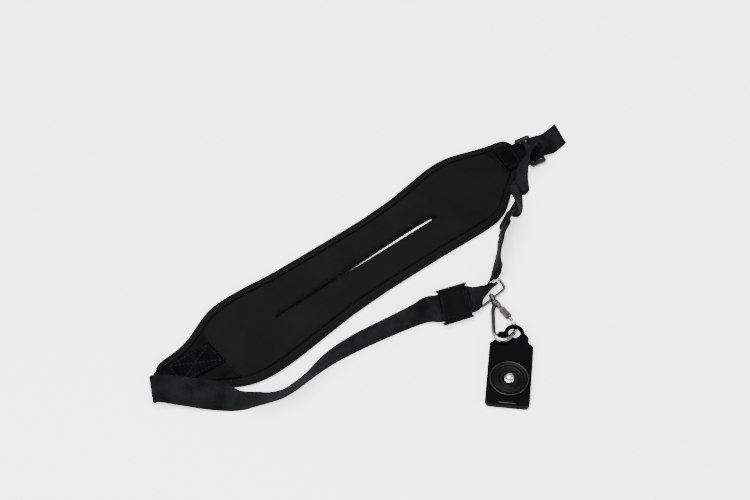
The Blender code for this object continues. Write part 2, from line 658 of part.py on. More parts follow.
pin_lay = upright_on(swivel_way, SWIVEL_AT)
combine(snap_hook, moved(turned(PIN_PROFILE, 20), pin_lay), "UNION")
CHEEKS = ((1.0, 2.3), (4.5, 5.8))  # lowest and highest of each
for low, high in CHEEKS:
    cheek = slab([stadium(CHEEK_ROOT, GATE_AT[:2], CHEEK_RADIUS)], low, high)
    combine(snap_hook, cheek, "UNION")
gate_pin = turned([(0.0, 1.3), (GATE_PIN, 1.3), (GATE_PIN, 5.5), (0.0, 5.5)], 12)
combine(snap_hook, moved(gate_pin, Matrix.Translation(Vector((*GATE_AT[:2], 0.0)) * MM)), "UNION")


# Gate: a rod with a flat eye on the cheeks' pin, and the threaded nut round it

gate_way = heading(GATE_HEADING)
gate_lay = axes(gate_way, heading(GATE_HEADING + 90), GATE_AT)
gate_rod = turned([
    (0.0, 2.3), (1.2, 2.3), (GATE_ROD / 2, 2.7), (GATE_ROD / 2, GATE_LENGTH - 0.5),
    (1.2, GATE_LENGTH), (0.0, GATE_LENGTH),
], 16)
hook_gate = place(
    "hook_gate", moved(gate_rod, upright_on(gate_way, GATE_AT)), BRIGHT_METAL, parent=gate_frame
)
EYE_HALF = 0.8
eye_outline = stadium((0.0, 0.0), (4.0, 0.0), GATE_ROD / 2 - 0.1)
combine(hook_gate, moved(slab([eye_outline], -EYE_HALF, EYE_HALF), gate_lay), "UNION")
eye_bore = turned([(0.0, -2.0), (GATE_PIN_HOLE, -2.0), (GATE_PIN_HOLE, 2.0), (0.0, 2.0)], 12)
combine(hook_gate, moved(eye_bore, gate_lay), "DIFFERENCE")

nut_profile = [
    (NUT_BORE / 2, NUT_FROM), (NUT_ROUND / 2 - 0.5, NUT_FROM), (NUT_ROUND / 2, NUT_FROM + 0.5),
    (NUT_ROUND / 2, NUT_TO - 0.5), (NUT_ROUND / 2 - 0.5, NUT_TO), (NUT_BORE / 2, NUT_TO),
]
nut_mesh = moved(turned(nut_profile, 20, closed=True), upright_on(gate_way, GATE_AT))
place("gate_nut", nut_mesh, BRIGHT_METAL, parent=gate_frame)


# Mounting plate: a thick rectangle with a raised ear for the hook between two small lobes

plate_lay = in_strap[plate_frame]
long, wide, corner = PLATE_LONG / 2, PLATE_WIDE / 2, PLATE_CORNER
RIGHT_LOBE = ((31.8, -14.9), (33.4, -14.4), (36.8, -14.5), (39.0, -13.3), (40.3, -11.4))
LEFT_LOBE = ((41.7, 8.6), (41.4, 11.2), (39.9, 12.9), (35.7, 13.5), (33.2, 14.2), (32.0, 15.4))
plate_outline = (
    arc((-long + corner, -wide + corner), corner, 180, 270, 4)
    + arc((long - corner, -wide + corner), corner, -90, -20, 3) + list(RIGHT_LOBE)
    + arc(EAR_AT, EAR_RADIUS, -86, 86, 12) + list(LEFT_LOBE)
    + arc((long - corner, wide - corner), corner, 20, 90, 3)
    + arc((-long + corner, wide - corner), corner, 90, 180, 4)
)
plate_mesh = moved(slab([plate_outline], 0.0, PLATE_TOP, rounding=0.7), plate_lay)
mount_plate = place("mount_plate", plate_mesh, PLATE_PAINT, parent=plate_frame)
under_ear = slab([rounded_box(24.0, 60.0, 1.0, centre=(33.8 + 12.0, 0.0))], -3.0, EAR_UNDER)
combine(mount_plate, moved(under_ear, plate_lay), "DIFFERENCE")
plate_holes = (  # outline of a hole, its lowest and highest
    (arc(EAR_AT, EAR_HOLE, 0, 340, 17), -3.0, 12.0),
    (rounded_box(SLOT_WIDE, SLOT_LONG, 1.2, centre=(SLOT_OUT, 0.0)), -3.0, 12.0),
    (arc((DISC_OUT, 0.0), SCREW_HEAD + 0.5, 0, 345, 23), -3.0, 3.5),
    (arc((DISC_OUT, 0.0), SCREW_RADIUS + 0.5, 0, 345, 23), -4.0, 12.0),
)
for outline, low, high in plate_holes:
    combine(mount_plate, moved(slab([outline], low, high), plate_lay), "DIFFERENCE")


# Rubber seat and camera screw on the plate

disc_lay = plate_lay @ Matrix.Translation((DISC_OUT * MM, 0.0, 0.0))
SEAT_PROFILE = (  # radius, height: rings that grip a camera's base
    (4.9, PLATE_TOP + GAP), (DISC_RADIUS, PLATE_TOP + GAP), (DISC_RADIUS, DISC_TOP - 0.4),
    (DISC_RADIUS - 0.4, DISC_TOP), (13.6, DISC_TOP), (13.2, DISC_TOP - 0.6),
    (12.6, DISC_TOP - 0.6), (12.2, DISC_TOP - 0.1), (8.9, DISC_TOP - 0.1), (8.5, DISC_TOP - 0.7),
    (7.9, DISC_TOP - 0.7), (7.5, DISC_TOP), (5.3, DISC_TOP), (4.9, DISC_TOP - 0.3),
)
seat_mesh = moved(turned(SEAT_PROFILE, 32, closed=True), disc_lay)
place("plate_pad", seat_mesh, RUBBER, parent=plate_frame)
SCREW_PROFILE = (  # radius, height
    (0.0, 0.3), (SCREW_HEAD - 0.4, 0.3), (SCREW_HEAD, 0.7), (SCREW_HEAD, 2.7),
    (SCREW_HEAD - 0.4, 3.1), (SCREW_RADIUS, 3.1), (SCREW_RADIUS, 7.4), (4.5, 7.4), (4.5, 9.1),
    (4.2, 9.4), (SCREW_RADIUS, 9.4), (SCREW_RADIUS, SCREW_TOP - 0.8),
    (SCREW_RADIUS - 0.7, SCREW_TOP), (0.0, SCREW_TOP),
)
screw_mesh = moved(turned(SCREW_PROFILE, 24), disc_lay)
place("camera_screw", screw_mesh, BRIGHT_METAL, parent=plate_frame)


# Web slider: three bars that the webbing weaves through, standing on its edge

slider_slot = SLIDER_LONG / 2 - SLIDER_BAR * 1.5
slider_outlines = [rounded_box(SLIDER_LONG, SLIDER_WIDE, 2.5)]
for centre in (-(slider_slot + SLIDER_BAR) / 2, (slider_slot + SLIDER_BAR) / 2):
    window = rounded_box(slider_slot, SLIDER_WIDE - 2 * SLIDER_RAIL, 0.8, 2, centre=(centre, 0.0))
    slider_outlines.append(window)
slider_lay = axes(slider_along, slider_across, SLIDER_AT)
slider_mesh = slab(slider_outlines, -SLIDER_THICK / 2, SLIDER_THICK / 2, rounding=0.4)
place("web_slider", moved(slider_mesh, slider_lay), MOULDED)


# Ladder buckle: joins the webbing's right end to the pad

buckle_outlines = [rounded_box(BUCKLE_LONG, BUCKLE_WIDE, 2.2)]
for start, end in BUCKLE_SLOTS:
    middle = ((start + end) / 2, 0.0)
    buckle_outlines.append(rounded_box(end - start, BUCKLE_WINDOW, 0.8, 2, centre=middle))
buckle_lay = axes(heading(BUCKLE_HEADING), heading(BUCKLE_HEADING + 90), BUCKLE_AT)
buckle_mesh = slab(buckle_outlines, -BUCKLE_THICK / 2, BUCKLE_THICK / 2, rounding=0.4)
place("ladder_buckle", moved(buckle_mesh, buckle_lay), MOULDED)
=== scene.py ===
import json
from math import cos, pi, radians, sin

import bmesh
import bpy
import numpy as np
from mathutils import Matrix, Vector
from mathutils.kdtree import KDTree


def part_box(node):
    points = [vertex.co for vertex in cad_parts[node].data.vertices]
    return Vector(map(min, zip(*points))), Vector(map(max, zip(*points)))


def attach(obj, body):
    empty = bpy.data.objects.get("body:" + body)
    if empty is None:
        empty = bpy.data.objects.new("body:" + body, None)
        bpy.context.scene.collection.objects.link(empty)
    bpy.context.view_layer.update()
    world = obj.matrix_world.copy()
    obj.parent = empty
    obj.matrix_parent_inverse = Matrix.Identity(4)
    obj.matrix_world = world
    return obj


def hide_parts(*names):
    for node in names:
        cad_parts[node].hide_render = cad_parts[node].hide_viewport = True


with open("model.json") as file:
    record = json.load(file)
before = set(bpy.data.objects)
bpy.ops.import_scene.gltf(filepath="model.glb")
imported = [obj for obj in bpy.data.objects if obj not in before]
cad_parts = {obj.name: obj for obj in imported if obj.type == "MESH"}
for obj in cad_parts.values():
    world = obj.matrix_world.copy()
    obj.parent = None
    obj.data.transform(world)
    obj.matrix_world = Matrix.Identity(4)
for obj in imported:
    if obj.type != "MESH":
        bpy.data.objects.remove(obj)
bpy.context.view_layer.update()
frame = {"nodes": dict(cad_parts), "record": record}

# Camera, floor and light. The strap lies on a plain pale floor under soft light, and the camera looks down
# on it from the side of its hook. None of these is a part of the strap.

MM = 0.001
LOOK_AT = Vector((11.5, 82.6, 0.0)) * MM
CAMERA_TURN, CAMERA_LIFT = radians(-40.0), radians(55.0)
CAMERA_AWAY = 1.5
CAMERA_LENS, CAMERA_SENSOR = 80.0, 36.0


def new_object(name, data):
    """An object in the scene, from a mesh, a camera or a lamp."""
    obj = bpy.data.objects.new(name, data)
    bpy.context.collection.objects.link(obj)
    return obj


camera = new_object("camera", bpy.data.cameras.new("camera"))
camera.data.lens, camera.data.sensor_width = CAMERA_LENS, CAMERA_SENSOR
camera.data.clip_start, camera.data.clip_end = 0.05, 20.0
towards_camera = Vector((
    sin(CAMERA_TURN) * cos(CAMERA_LIFT), -cos(CAMERA_TURN) * cos(CAMERA_LIFT), sin(CAMERA_LIFT)
))
camera.location = LOOK_AT + towards_camera * CAMERA_AWAY
camera.rotation_euler = towards_camera.to_track_quat("Z", "Y").to_euler()
bpy.context.scene.camera = camera


def node(tree, kind, **values):
    """A shader node whose sockets take numbers, or are linked from other sockets. _0 is its first socket."""
    made = tree.nodes.new("ShaderNode" + kind)
    for name, value in values.items():
        key = int(name[1:]) if name[0] == "_" and name[1:].isdigit() else name.replace("_", " ")
        if key in ("operation", "wave type", "bands direction", "mode", "blend type", "data type"):
            setattr(made, name, value)
        elif isinstance(value, bpy.types.NodeSocket):
            tree.links.new(value, made.inputs[key])
        else:
            made.inputs[key].default_value = value
    return made


def painted(name, colour, roughness, metallic=0.0, **more):
    """A material with a Principled shader, and that shader's tree and node."""
    made = bpy.data.materials.new(name)
    made.use_nodes = True
    shader = made.node_tree.nodes["Principled BSDF"]
    shader.inputs["Base Color"].default_value = (*colour, 1.0)
    shader.inputs["Roughness"].default_value = roughness
    shader.inputs["Metallic"].default_value = metallic
    for socket, value in more.items():
        shader.inputs[socket.replace("_", " ")].default_value = value
    return made, made.node_tree, shader


FLOOR_HALF, FLOOR_LEVEL = 4.0, -0.3 * MM
floor_mesh = bpy.data.meshes.new("floor")
floor_mesh.from_pydata(
    [(x * FLOOR_HALF, y * FLOOR_HALF, FLOOR_LEVEL) for x, y in ((-1, -1), (1, -1), (1, 1), (-1, 1))],
    [], [(0, 1, 2, 3)],
)
floor = new_object("floor", floor_mesh)
floor_paint = painted(
    "pale_floor", (0.93, 0.93, 0.93), 0.9, Emission_Color=(1.0, 1.0, 1.0, 1.0), Emission_Strength=0.9
)[0]
floor_mesh.materials.append(floor_paint)


def shades(tree, factor, *stops):
    """A colour between two stops, each a place on the factor and a colour."""
    made = node(tree, "ValToRGB", Fac=factor)
    for element, (position, colour) in zip(made.color_ramp.elements, stops):
        element.position = position
        element.color = (*colour, 1.0)
    return made.outputs["Color"]


world = bpy.data.worlds.new("studio")
bpy.context.scene.world = world
world.use_nodes = True
sky = world.node_tree
direction = node(sky, "TexCoord").outputs["Generated"]
height = node(sky, "SeparateXYZ", Vector=direction).outputs["Z"]
tent = shades(sky, height, (0.05, (0.04, 0.04, 0.042)), (0.8, (0.6, 0.6, 0.6)))
sky.links.new(tent, sky.nodes["Background"].inputs["Color"])
sky.nodes["Background"].inputs["Strength"].default_value = 1.2


def soft_box(name, place, size, power):
    """A square lamp that faces the strap, with its size in metres and its power in watts."""
    lamp = new_object(name, bpy.data.lights.new(name, "AREA"))
    lamp.data.size, lamp.data.energy = size, power
    lamp.location = place
    lamp.rotation_euler = (Vector(place) - LOOK_AT).to_track_quat("Z", "Y").to_euler()


soft_box("overhead_box", (-0.3, 0.2, 2.3), 1.8, 170.0)
soft_box("side_box", (-1.9, -0.6, 1.5), 1.2, 60.0)
soft_box("front_box", (1.0, -1.8, 1.1), 0.8, 30.0)


# Shoulder pad. A long plate of foam with stretch cloth over it, a little fuller between its edges than at
# them. It is closed round its rim by the binding, and a slit cut through its middle lets it spread.

WELD = 1e-6  # points of the frame nearer than this are one


def welded(name):
    """A node of the frame as a bmesh, with its points joined."""
    bm = bmesh.new()
    bm.from_mesh(frame["nodes"][name].data)
    bmesh.ops.remove_doubles(bm, verts=bm.verts, dist=WELD)
    return bm


def level_loops(name, level):
    """The closed loops in which a level plane cuts a node of the frame, the longest first, as x and y."""
    bm = welded(name)
    bmesh.ops.bisect_plane(
        bm, geom=[*bm.verts, *bm.edges, *bm.faces], plane_co=(0.0, 0.0, level),
        plane_no=(0.0, 0.0, 1.0), clear_outer=True, clear_inner=True,
    )
    bmesh.ops.remove_doubles(bm, verts=bm.verts, dist=WELD)
    unused = set(bm.verts)
    loops = []
    while unused:
        chain = [unused.pop()]
        while True:
            beside = [edge.other_vert(chain[-1]) for edge in chain[-1].link_edges]
            beside = [vert for vert in beside if vert in unused]
            if not beside:
                break
            unused.discard(beside[0])
            chain.append(beside[0])
        loops.append(np.array([tuple(vert.co.xy) for vert in chain]))
    bm.free()
    return sorted(loops, key=lambda loop: np.ptp(loop[:, 0]), reverse=True)


def evenly(loop, spacing, softness):
    """A loop's points at an even spacing, anticlockwise from its left end, with its corners softened."""
    ahead = np.roll(loop, -1, axis=0)
    if (loop[:, 0] * ahead[:, 1] - ahead[:, 0] * loop[:, 1]).sum() < 0:
        loop = loop[::-1]
    loop = np.roll(loop, -loop[:, 0].argmin(), axis=0)
    loop = np.vstack((loop, loop[:1]))
    run = np.concatenate(([0.0], np.cumsum(np.linalg.norm(np.diff(loop, axis=0), axis=1))))
    count = round(run[-1] / spacing)
    at = np.arange(count) * run[-1] / count
    even = np.column_stack([np.interp(at, run, loop[:, k]) for k in (0, 1)])
    reach = int(3 * softness / spacing) + 1
    weights = np.exp(-0.5 * (np.arange(-reach, reach + 1) * spacing / softness) ** 2)
    shifted = [np.roll(even, k, axis=0) * w for k, w in zip(range(-reach, reach + 1), weights)]
    return sum(shifted) / weights.sum()


PAD_EDGE_LEVEL = 2.7 * MM
RIM_STEP, RIM_SOFTNESS = 1.5 * MM, 2.5 * MM
TIP = 16.0 * MM  # how far the pad's spine stops short of its ends
rim = evenly(level_loops("pad_binding", PAD_EDGE_LEVEL)[0], RIM_STEP, RIM_SOFTNESS)
rim_right = int(rim[:, 0].argmax())
near_side = rim[:rim_right + 1]
far_side = np.vstack((rim[rim_right:], rim[:1]))[::-1]
left_base, right_base = rim[:, 0].min() + TIP, rim[:, 0].max() - TIP


def across_pad(x):
    """The near and the far edge of the pad at x."""
    near = np.interp(x, near_side[:, 0], near_side[:, 1])
    return near, np.interp(x, far_side[:, 0], far_side[:, 1])


def inset(points, distance):
    """Points of the rim, moved in towards the pad's spine."""
    spine_x = np.clip(points[:, 0], left_base, right_base)
    spine = np.column_stack((spine_x, sum(across_pad(spine_x)) / 2))
    way = spine - points
    return points + way / np.linalg.norm(way, axis=1, keepdims=True) * distance


def applied(obj):
    """Gives an object the mesh that its modifiers make, and drops them."""
    seen = obj.evaluated_get(bpy.context.evaluated_depsgraph_get())
    mesh = bpy.data.meshes.new_from_object(seen)
    obj.modifiers.clear()
    obj.data = mesh


def points_of(mesh):
    """A mesh's points as rows of x, y and z."""
    points = np.empty(len(mesh.vertices) * 3)
    mesh.vertices.foreach_get("co", points)
    return points.reshape(-1, 3)


def dressed(obj, paint, body="strap"):
    """Puts a finished piece on a body in its material, shaded smooth."""
    obj.data.materials.clear()
    obj.data.materials.append(paint)
    obj.data.shade_smooth()
    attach(obj, body)
    return obj


SLIT_FROM, SLIT_TO = np.array((-101.6, 80.84)) * MM, np.array((75.4, 72.34)) * MM
SLIT_PARTED = (  # share along the slit, width in mm: almost closed at its left, parted at its right
    (0.0, 0.2), (0.03, 0.9), (0.2, 1.2), (0.36, 1.8), (0.44, 2.7), (0.48, 2.9), (0.52, 3.08),
    (0.58, 3.28), (0.68, 3.8), (0.8, 4.2), (0.9, 4.2), (0.97, 3.8), (0.99, 2.7), (1.0, 0.3),
)
slit_long = np.linalg.norm(SLIT_TO - SLIT_FROM)
slit_way = (SLIT_TO - SLIT_FROM) / slit_long


def slit_place(xy):
    """How far along the slit points are, as a share, and how far beyond its near edge."""
    offset = xy - SLIT_FROM
    along = offset @ slit_way
    return along / slit_long, offset[:, 1] * slit_way[0] - offset[:, 0] * slit_way[1]


def slit_width(share):
    """The slit's width at shares along it."""
    return np.interp(share, *np.array(SLIT_PARTED).T) * MM


# The solid's own slit is closed first, so that the cloth swells as one plate before the slit is cut again.
WALLS_ALONG, WALLS_ASIDE = (-0.05, 1.05), (-2.0 * MM, 7.0 * MM)
bm = welded("shoulder_pad")
walls = []
for face in bm.faces:
    centre = face.calc_center_median()
    share, aside = slit_place(np.array([[centre.x, centre.y]]))
    beside_slit = (WALLS_ALONG[0] < share[0] < WALLS_ALONG[1]
                   and WALLS_ASIDE[0] < aside[0] < WALLS_ASIDE[1])
    if beside_slit and abs(face.normal.z) < 0.5:
        walls.append(face)
bmesh.ops.delete(bm, geom=walls, context="FACES")
bmesh.ops.edgeloop_fill(bm, edges=[edge for edge in bm.edges if edge.is_boundary])
pad_mesh = bpy.data.meshes.new("padded_plate")
bm.to_mesh(pad_mesh)
bm.free()


def even_faces(obj, size, rounds):
    """Gives a solid a skin of even faces of one size, eased by a number of smoothing rounds."""
    remesh = obj.modifiers.new("even_faces", "REMESH")
    remesh.mode = "VOXEL"
    remesh.voxel_size = size
    eased = obj.modifiers.new("eased", "SMOOTH")
    eased.factor = 0.5
    eased.iterations = rounds
    applied(obj)


PAD_FACE = 1.9 * MM
pad = new_object("padded_plate", pad_mesh)
even_faces(pad, PAD_FACE, 4)

TAPE_INSIDE = 7.0 * MM  # from the rim to the tape's inner edge
pad_points = points_of(pad.data)
inner_edge = inset(rim, TAPE_INSIDE)
inner_tree = KDTree(len(inner_edge))
for i, (x, y) in enumerate(inner_edge):
    inner_tree.insert((x, y, 0.0), i)
inner_tree.balance()
inward = np.roll(inner_edge, -1, axis=0) - np.roll(inner_edge, 1, axis=0)
inward = np.column_stack((-inward[:, 1], inward[:, 0]))
inward /= np.linalg.norm(inward, axis=1, keepdims=True)


def inside_tape(points):
    """How far points lie inside the tape's inner edge, seen from above."""
    nearest = [inner_tree.find((x, y, 0.0))[1] for x, y in points[:, :2]]
    return ((points[:, :2] - inner_edge[nearest]) * inward[nearest]).sum(axis=1)


UNDER_TAPE = 0.5 * MM  # the tape holds the cloth down this far inside its edge
HELD_BELOW = 1.2 * MM  # the pad's underside stays flat
SWELL_STEPS, SWELL_PRESSURE = 20, 4.0
SWELL_CAP = 1.1 * MM  # how far the cloth may stand off the foam
held = pad.vertex_groups.new(name="held")
depth = inside_tape(pad_points)
for i in np.flatnonzero((depth < UNDER_TAPE) | (pad_points[:, 2] < HELD_BELOW)):
    held.add([int(i)], 1.0, "REPLACE")
cloth = pad.modifiers.new("swell", "CLOTH")
cloth.settings.quality = 4
cloth.settings.use_pressure = True
cloth.settings.uniform_pressure_force = SWELL_PRESSURE
cloth.settings.effector_weights.gravity = 0.0
cloth.settings.vertex_group_mass = held.name
cloth.point_cache.frame_start = 1
cloth.point_cache.frame_end = SWELL_STEPS
for step in range(1, SWELL_STEPS + 1):
    bpy.context.scene.frame_set(step)
applied(pad)
bpy.context.scene.frame_set(1)
swollen = points_of(pad.data)
travel = swollen - pad_points
length = np.linalg.norm(travel, axis=1, keepdims=True)
pad_points = pad_points + travel * np.minimum(1.0, SWELL_CAP / np.maximum(length, 1e-9))

pad.data.vertices.foreach_set("co", pad_points.ravel())
finer = pad.modifiers.new("finer", "SUBSURF")
finer.levels = finer.render_levels = 1
applied(pad)

GROOVE_LEVEL, GROOVE_WIDTH = 3.9 * MM, 3.0 * MM
GROOVE_RISE = 1.5  # how steeply the cloth climbs out from under the tape
pad_points = points_of(pad.data)
depth = inside_tape(pad_points)
ceiling = GROOVE_LEVEL + np.maximum(depth - UNDER_TAPE, 0.0) * GROOVE_RISE
near_tape = (depth < GROOVE_WIDTH) & (pad_points[:, 2] > ceiling)
pad_points[near_tape, 2] = ceiling[near_tape]


def off_slit(points):
    """How far points lie from the slit, seen from above."""
    share, aside = slit_place(points[:, :2])
    past_end = np.maximum(np.maximum(-share, share - 1.0) * slit_long, 0.0)
    return np.hypot(np.maximum(np.maximum(-aside, aside - slit_width(share)), 0.0), past_end)


LIP_DROP, LIP_ROUND = 3.1 * MM, 2.3 * MM  # how far the slit's lips curl down, and how wide the curl is
LIP_ABOVE = 3.5 * MM  # only the cloth above this level curls
drop = LIP_DROP * np.exp(-(off_slit(pad_points) / LIP_ROUND) ** 2)
on_top = pad_points[:, 2] > LIP_ABOVE
pad_points[on_top, 2] -= drop[on_top]
pad_points[:, 2] = np.maximum(pad_points[:, 2], 0.0)
pad.data.vertices.foreach_set("co", pad_points.ravel())

CUT_FROM, CUT_DEEP = -3.0 * MM, 15.0 * MM
NARROWEST = 0.25 * MM
slit_shares = np.linspace(0.0, 1.0, 60)
near_edge = SLIT_FROM + slit_shares[:, None] * (SLIT_TO - SLIT_FROM)
aside_way = np.array((-slit_way[1], slit_way[0]))
width = np.maximum(slit_width(slit_shares), NARROWEST)[:, None]
outline = np.vstack((near_edge, (near_edge + aside_way * width)[::-1]))
cutter_mesh = bpy.data.meshes.new("slit_cutter")
bm = bmesh.new()
lower = [bm.verts.new((x, y, CUT_FROM)) for x, y in outline]
bm.faces.new(lower[::-1])
raised = bmesh.ops.extrude_face_region(bm, geom=bm.faces[:])["geom"]
raised = [part for part in raised if isinstance(part, bmesh.types.BMVert)]
bmesh.ops.translate(bm, vec=(0.0, 0.0, CUT_DEEP), verts=raised)
bmesh.ops.recalc_face_normals(bm, faces=bm.faces)
bm.to_mesh(cutter_mesh)
bm.free()
cutter = new_object("slit_cutter", cutter_mesh)
cut = pad.modifiers.new("slit", "BOOLEAN")
cut.operation = "DIFFERENCE"
cut.object = cutter
applied(pad)
bpy.data.objects.remove(cutter)

# Painted shade: the pad's colour is darkened in the creases by the tape's inner edge and along the slit's
# lips.
SHADED = 0.9  # how much darker the painted shade makes the cloth in a crease than in the open
TAPE_CREASE_AT, TAPE_CREASE_WIDE, SLIT_CREASE_WIDE = 0.6 * MM, 1.3 * MM, 1.0 * MM
pad_points = points_of(pad.data)
by_tape = np.exp(-((inside_tape(pad_points) - TAPE_CREASE_AT) / TAPE_CREASE_WIDE) ** 2)
by_slit = np.exp(-(off_slit(pad_points) / SLIT_CREASE_WIDE) ** 2)
crease_shade_factor = (1.0 - SHADED * by_tape) * (1.0 - SHADED * by_slit)
pad.data.attributes.new("crease_shade_factor", "FLOAT", "POINT").data.foreach_set("value", crease_shade_factor)


def relief(tree, shader, height, strength, depth):
    """Fine relief on a material's surface: its height from 0 to 1, its strength and its depth."""
    bump = node(tree, "Bump", Height=height, Strength=strength, Distance=depth)
    tree.links.new(bump.outputs["Normal"], shader.inputs["Normal"])


pad_cloth, tree, shader = painted("pad_cloth", (0.0030, 0.0030, 0.0030), 0.92, Specular_IOR_Level=0.07)
place = node(tree, "TexCoord").outputs["Object"]
wales = node(tree, "TexWave", Vector=place, Scale=420.0, Distortion=0.6, Detail=1.0)
fuzz = node(tree, "TexNoise", Vector=place, Scale=1500.0, Detail=3.0)
blotches = node(tree, "TexNoise", Vector=place, Scale=28.0, Detail=4.0)
knit = node(tree, "Math", operation="MULTIPLY_ADD", _0=wales.outputs["Fac"], _1=0.5,
            _2=fuzz.outputs["Fac"])
relief(tree, shader, knit.outputs["Value"], 0.55, 0.12 * MM)
shade = shades(tree, blotches.outputs["Fac"], (0.3, (0.0017, 0.0017, 0.0018)),
               (0.7, (0.0027, 0.0027, 0.0028)))
# The crease factor darkens the cloth's colour: painted shade in the creases by the tape and the slit.
crease_shade_node = node(tree, "Attribute")
crease_shade_node.attribute_name = "crease_shade_factor"
in_crease = node(tree, "HueSaturation", Color=shade, Value=crease_shade_node.outputs["Fac"])
tree.links.new(in_crease.outputs["Color"], shader.inputs["Base Color"])
dressed(pad, pad_cloth)
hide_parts("shoulder_pad")


# Binding. A ribbed tape folded over the raw edge of the foam and sewn through with one row of stitches
# near its inner edge, which pull it down into a shallow channel and gather it a little round the bends.

def swept(name, rings, joined=False):
    """A mesh through closed rings of points. Its UV map holds metres along the sweep and round a ring."""
    count, points = rings.shape[:2]
    spans = count if joined else count - 1
    far = np.roll(rings, -1, axis=0)
    step_along = np.linalg.norm(far - rings, axis=2).mean(axis=1)
    along = np.concatenate(([0.0], np.cumsum(step_along)))
    step_round = np.linalg.norm(np.roll(rings, -1, axis=1) - rings, axis=2).mean(axis=0)
    around = np.concatenate(([0.0], np.cumsum(step_round)))
    faces, uvs = [], []
    for i in range(spans):
        j = (i + 1) % count
        for k in range(points):
            m = (k + 1) % points
            faces.append((i * points + k, i * points + m, j * points + m, j * points + k))
            uvs += (along[i], around[k], along[i], around[k + 1])
            uvs += (along[i + 1], around[k + 1], along[i + 1], around[k])
    if not joined:
        for i, order in ((0, range(points - 1, -1, -1)), (count - 1, range(points))):
            faces.append([i * points + k for k in order])
            for k in order:
                uvs += (along[i], around[k])
    mesh = bpy.data.meshes.new(name)
    mesh.from_pydata(rings.reshape(-1, 3).tolist(), [], faces)
    mesh.uv_layers.new(name="metres").data.foreach_set("uv", uvs)
    return mesh


def smooth_steps(a, b, c, d, steps):
    """Points in even steps along smooth curves from b to c, whose neighbours are a and d."""
    t = (np.arange(steps) / steps)[None, :, None]
    curve = 0.5 * (2 * b + (c - a) * t + (2 * a - 5 * b + 4 * c - d) * t ** 2
                   + (3 * b - a - 3 * c + d) * t ** 3)
    return curve.reshape(-1, b.shape[-1])


def closed_curve(points, steps):
    """A smooth closed curve through points, with a number of steps between two of them."""
    p = np.array(points, float)
    return smooth_steps(*(np.roll(p, shift, axis=0)[:, None] for shift in (1, 0, -1, -2)), steps)


TAPE_SECTION = (  # inset from the rim, height, in mm: the inner face, then the outer one
    (7.0, 4.45), (4.4, 4.35), (1.5, 4.25), (1.2, 2.7), (1.5, 1.2), (4.4, 1.1), (7.0, 1.05),
    (7.2, 0.55), (7.0, 0.1), (4.6, 0.06), (2.0, 0.1), (0.7, 0.5), (0.05, 1.6), (0.0, 2.8),
    (0.15, 3.9), (0.9, 4.85), (2.2, 5.25), (3.8, 5.35), (4.8, 5.2), (5.4, 4.98), (6.0, 5.15),
    (6.8, 5.2), (7.2, 4.85),
)
GATHER_HIGH, GATHER_LONG = 0.09 * MM, 6.1 * MM
GATHERED_ABOVE = 4.6 * MM
section = closed_curve(TAPE_SECTION, 2) * MM
rim_run = np.arange(len(rim)) * RIM_STEP
uneven = 1.7 * np.sin(rim_run / (21 * MM))
gathers = GATHER_HIGH * np.sin(2 * pi * rim_run / GATHER_LONG + uneven)
tape_rings = np.empty((len(rim), len(section), 3))
for k, (distance, level) in enumerate(section):
    tape_rings[:, k, :2] = inset(rim, distance)
    tape_rings[:, k, 2] = level + (gathers if level > GATHERED_ABOVE else 0.0)
binding = new_object("binding_tape", swept("binding_tape", tape_rings[:, ::-1], joined=True))

tape_cloth, tree, shader = painted("binding_tape", (0.0012, 0.0012, 0.0013), 0.8, Specular_IOR_Level=0.07)
metres = node(tree, "UVMap")
metres.uv_map = "metres"
ribs = node(tree, "TexWave", Vector=metres.outputs["UV"], Scale=210.0, Distortion=0.4)
yarn = node(tree, "TexNoise", Vector=metres.outputs["UV"], Scale=1400.0, Detail=2.0)
rib_height = node(tree, "Math", operation="MULTIPLY_ADD", _0=yarn.outputs["Fac"], _1=0.35,
                  _2=ribs.outputs["Fac"])
relief(tree, shader, rib_height.outputs["Value"], 0.6, 0.15 * MM)
dressed(binding, tape_cloth)
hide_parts("pad_binding")


def stitched(name, runs, long, gap, thick):
    """A mesh of even stitches along runs, each a pair of points and of directions off the cloth."""
    verts, faces = [], []
    sides, bends = 6, 5
    for points, outs in runs:
        run = np.concatenate(([0.0], np.cumsum(np.linalg.norm(np.diff(points, axis=0), axis=1))))
        for start in np.arange(gap / 2, run[-1] - long, long + gap):
            at = start + np.linspace(0.0, long, bends)
            middle = np.column_stack([np.interp(at, run, points[:, k]) for k in range(3)])
            off = np.column_stack([np.interp(at, run, outs[:, k]) for k in range(3)])
            off /= np.linalg.norm(off, axis=1, keepdims=True)
            middle = middle + off * (thick * np.array((-0.5, 0.35, 0.5, 0.35, -0.5)))[:, None]
            way = np.gradient(middle, axis=0)
            side = np.cross(way, off)
            side /= np.linalg.norm(side, axis=1, keepdims=True)
            first = len(verts)
            for m, o, s, full in zip(middle, off, side, (0.55, 0.95, 1.0, 0.95, 0.55)):
                for k in range(sides):
                    turn = 2 * pi * k / sides
                    verts.append(m + (s * cos(turn) + o * sin(turn)) * thick / 2 * full)
            for i in range(bends - 1):
                for k in range(sides):
                    a, b = first + i * sides + k, first + i * sides + (k + 1) % sides
                    faces.append((a, a + sides, b + sides, b))
            faces.append([first + k for k in range(sides)])
            faces.append([first + (bends - 1) * sides + k for k in reversed(range(sides))])
    mesh = bpy.data.meshes.new(name)
    mesh.from_pydata(verts, [], faces)
    return mesh


def flat_run(xy, level):
    """A run of stitches on a level cloth."""
    points = np.column_stack((xy, np.full(len(xy), level)))
    return points, np.tile((0.0, 0.0, 1.0), (len(xy), 1))


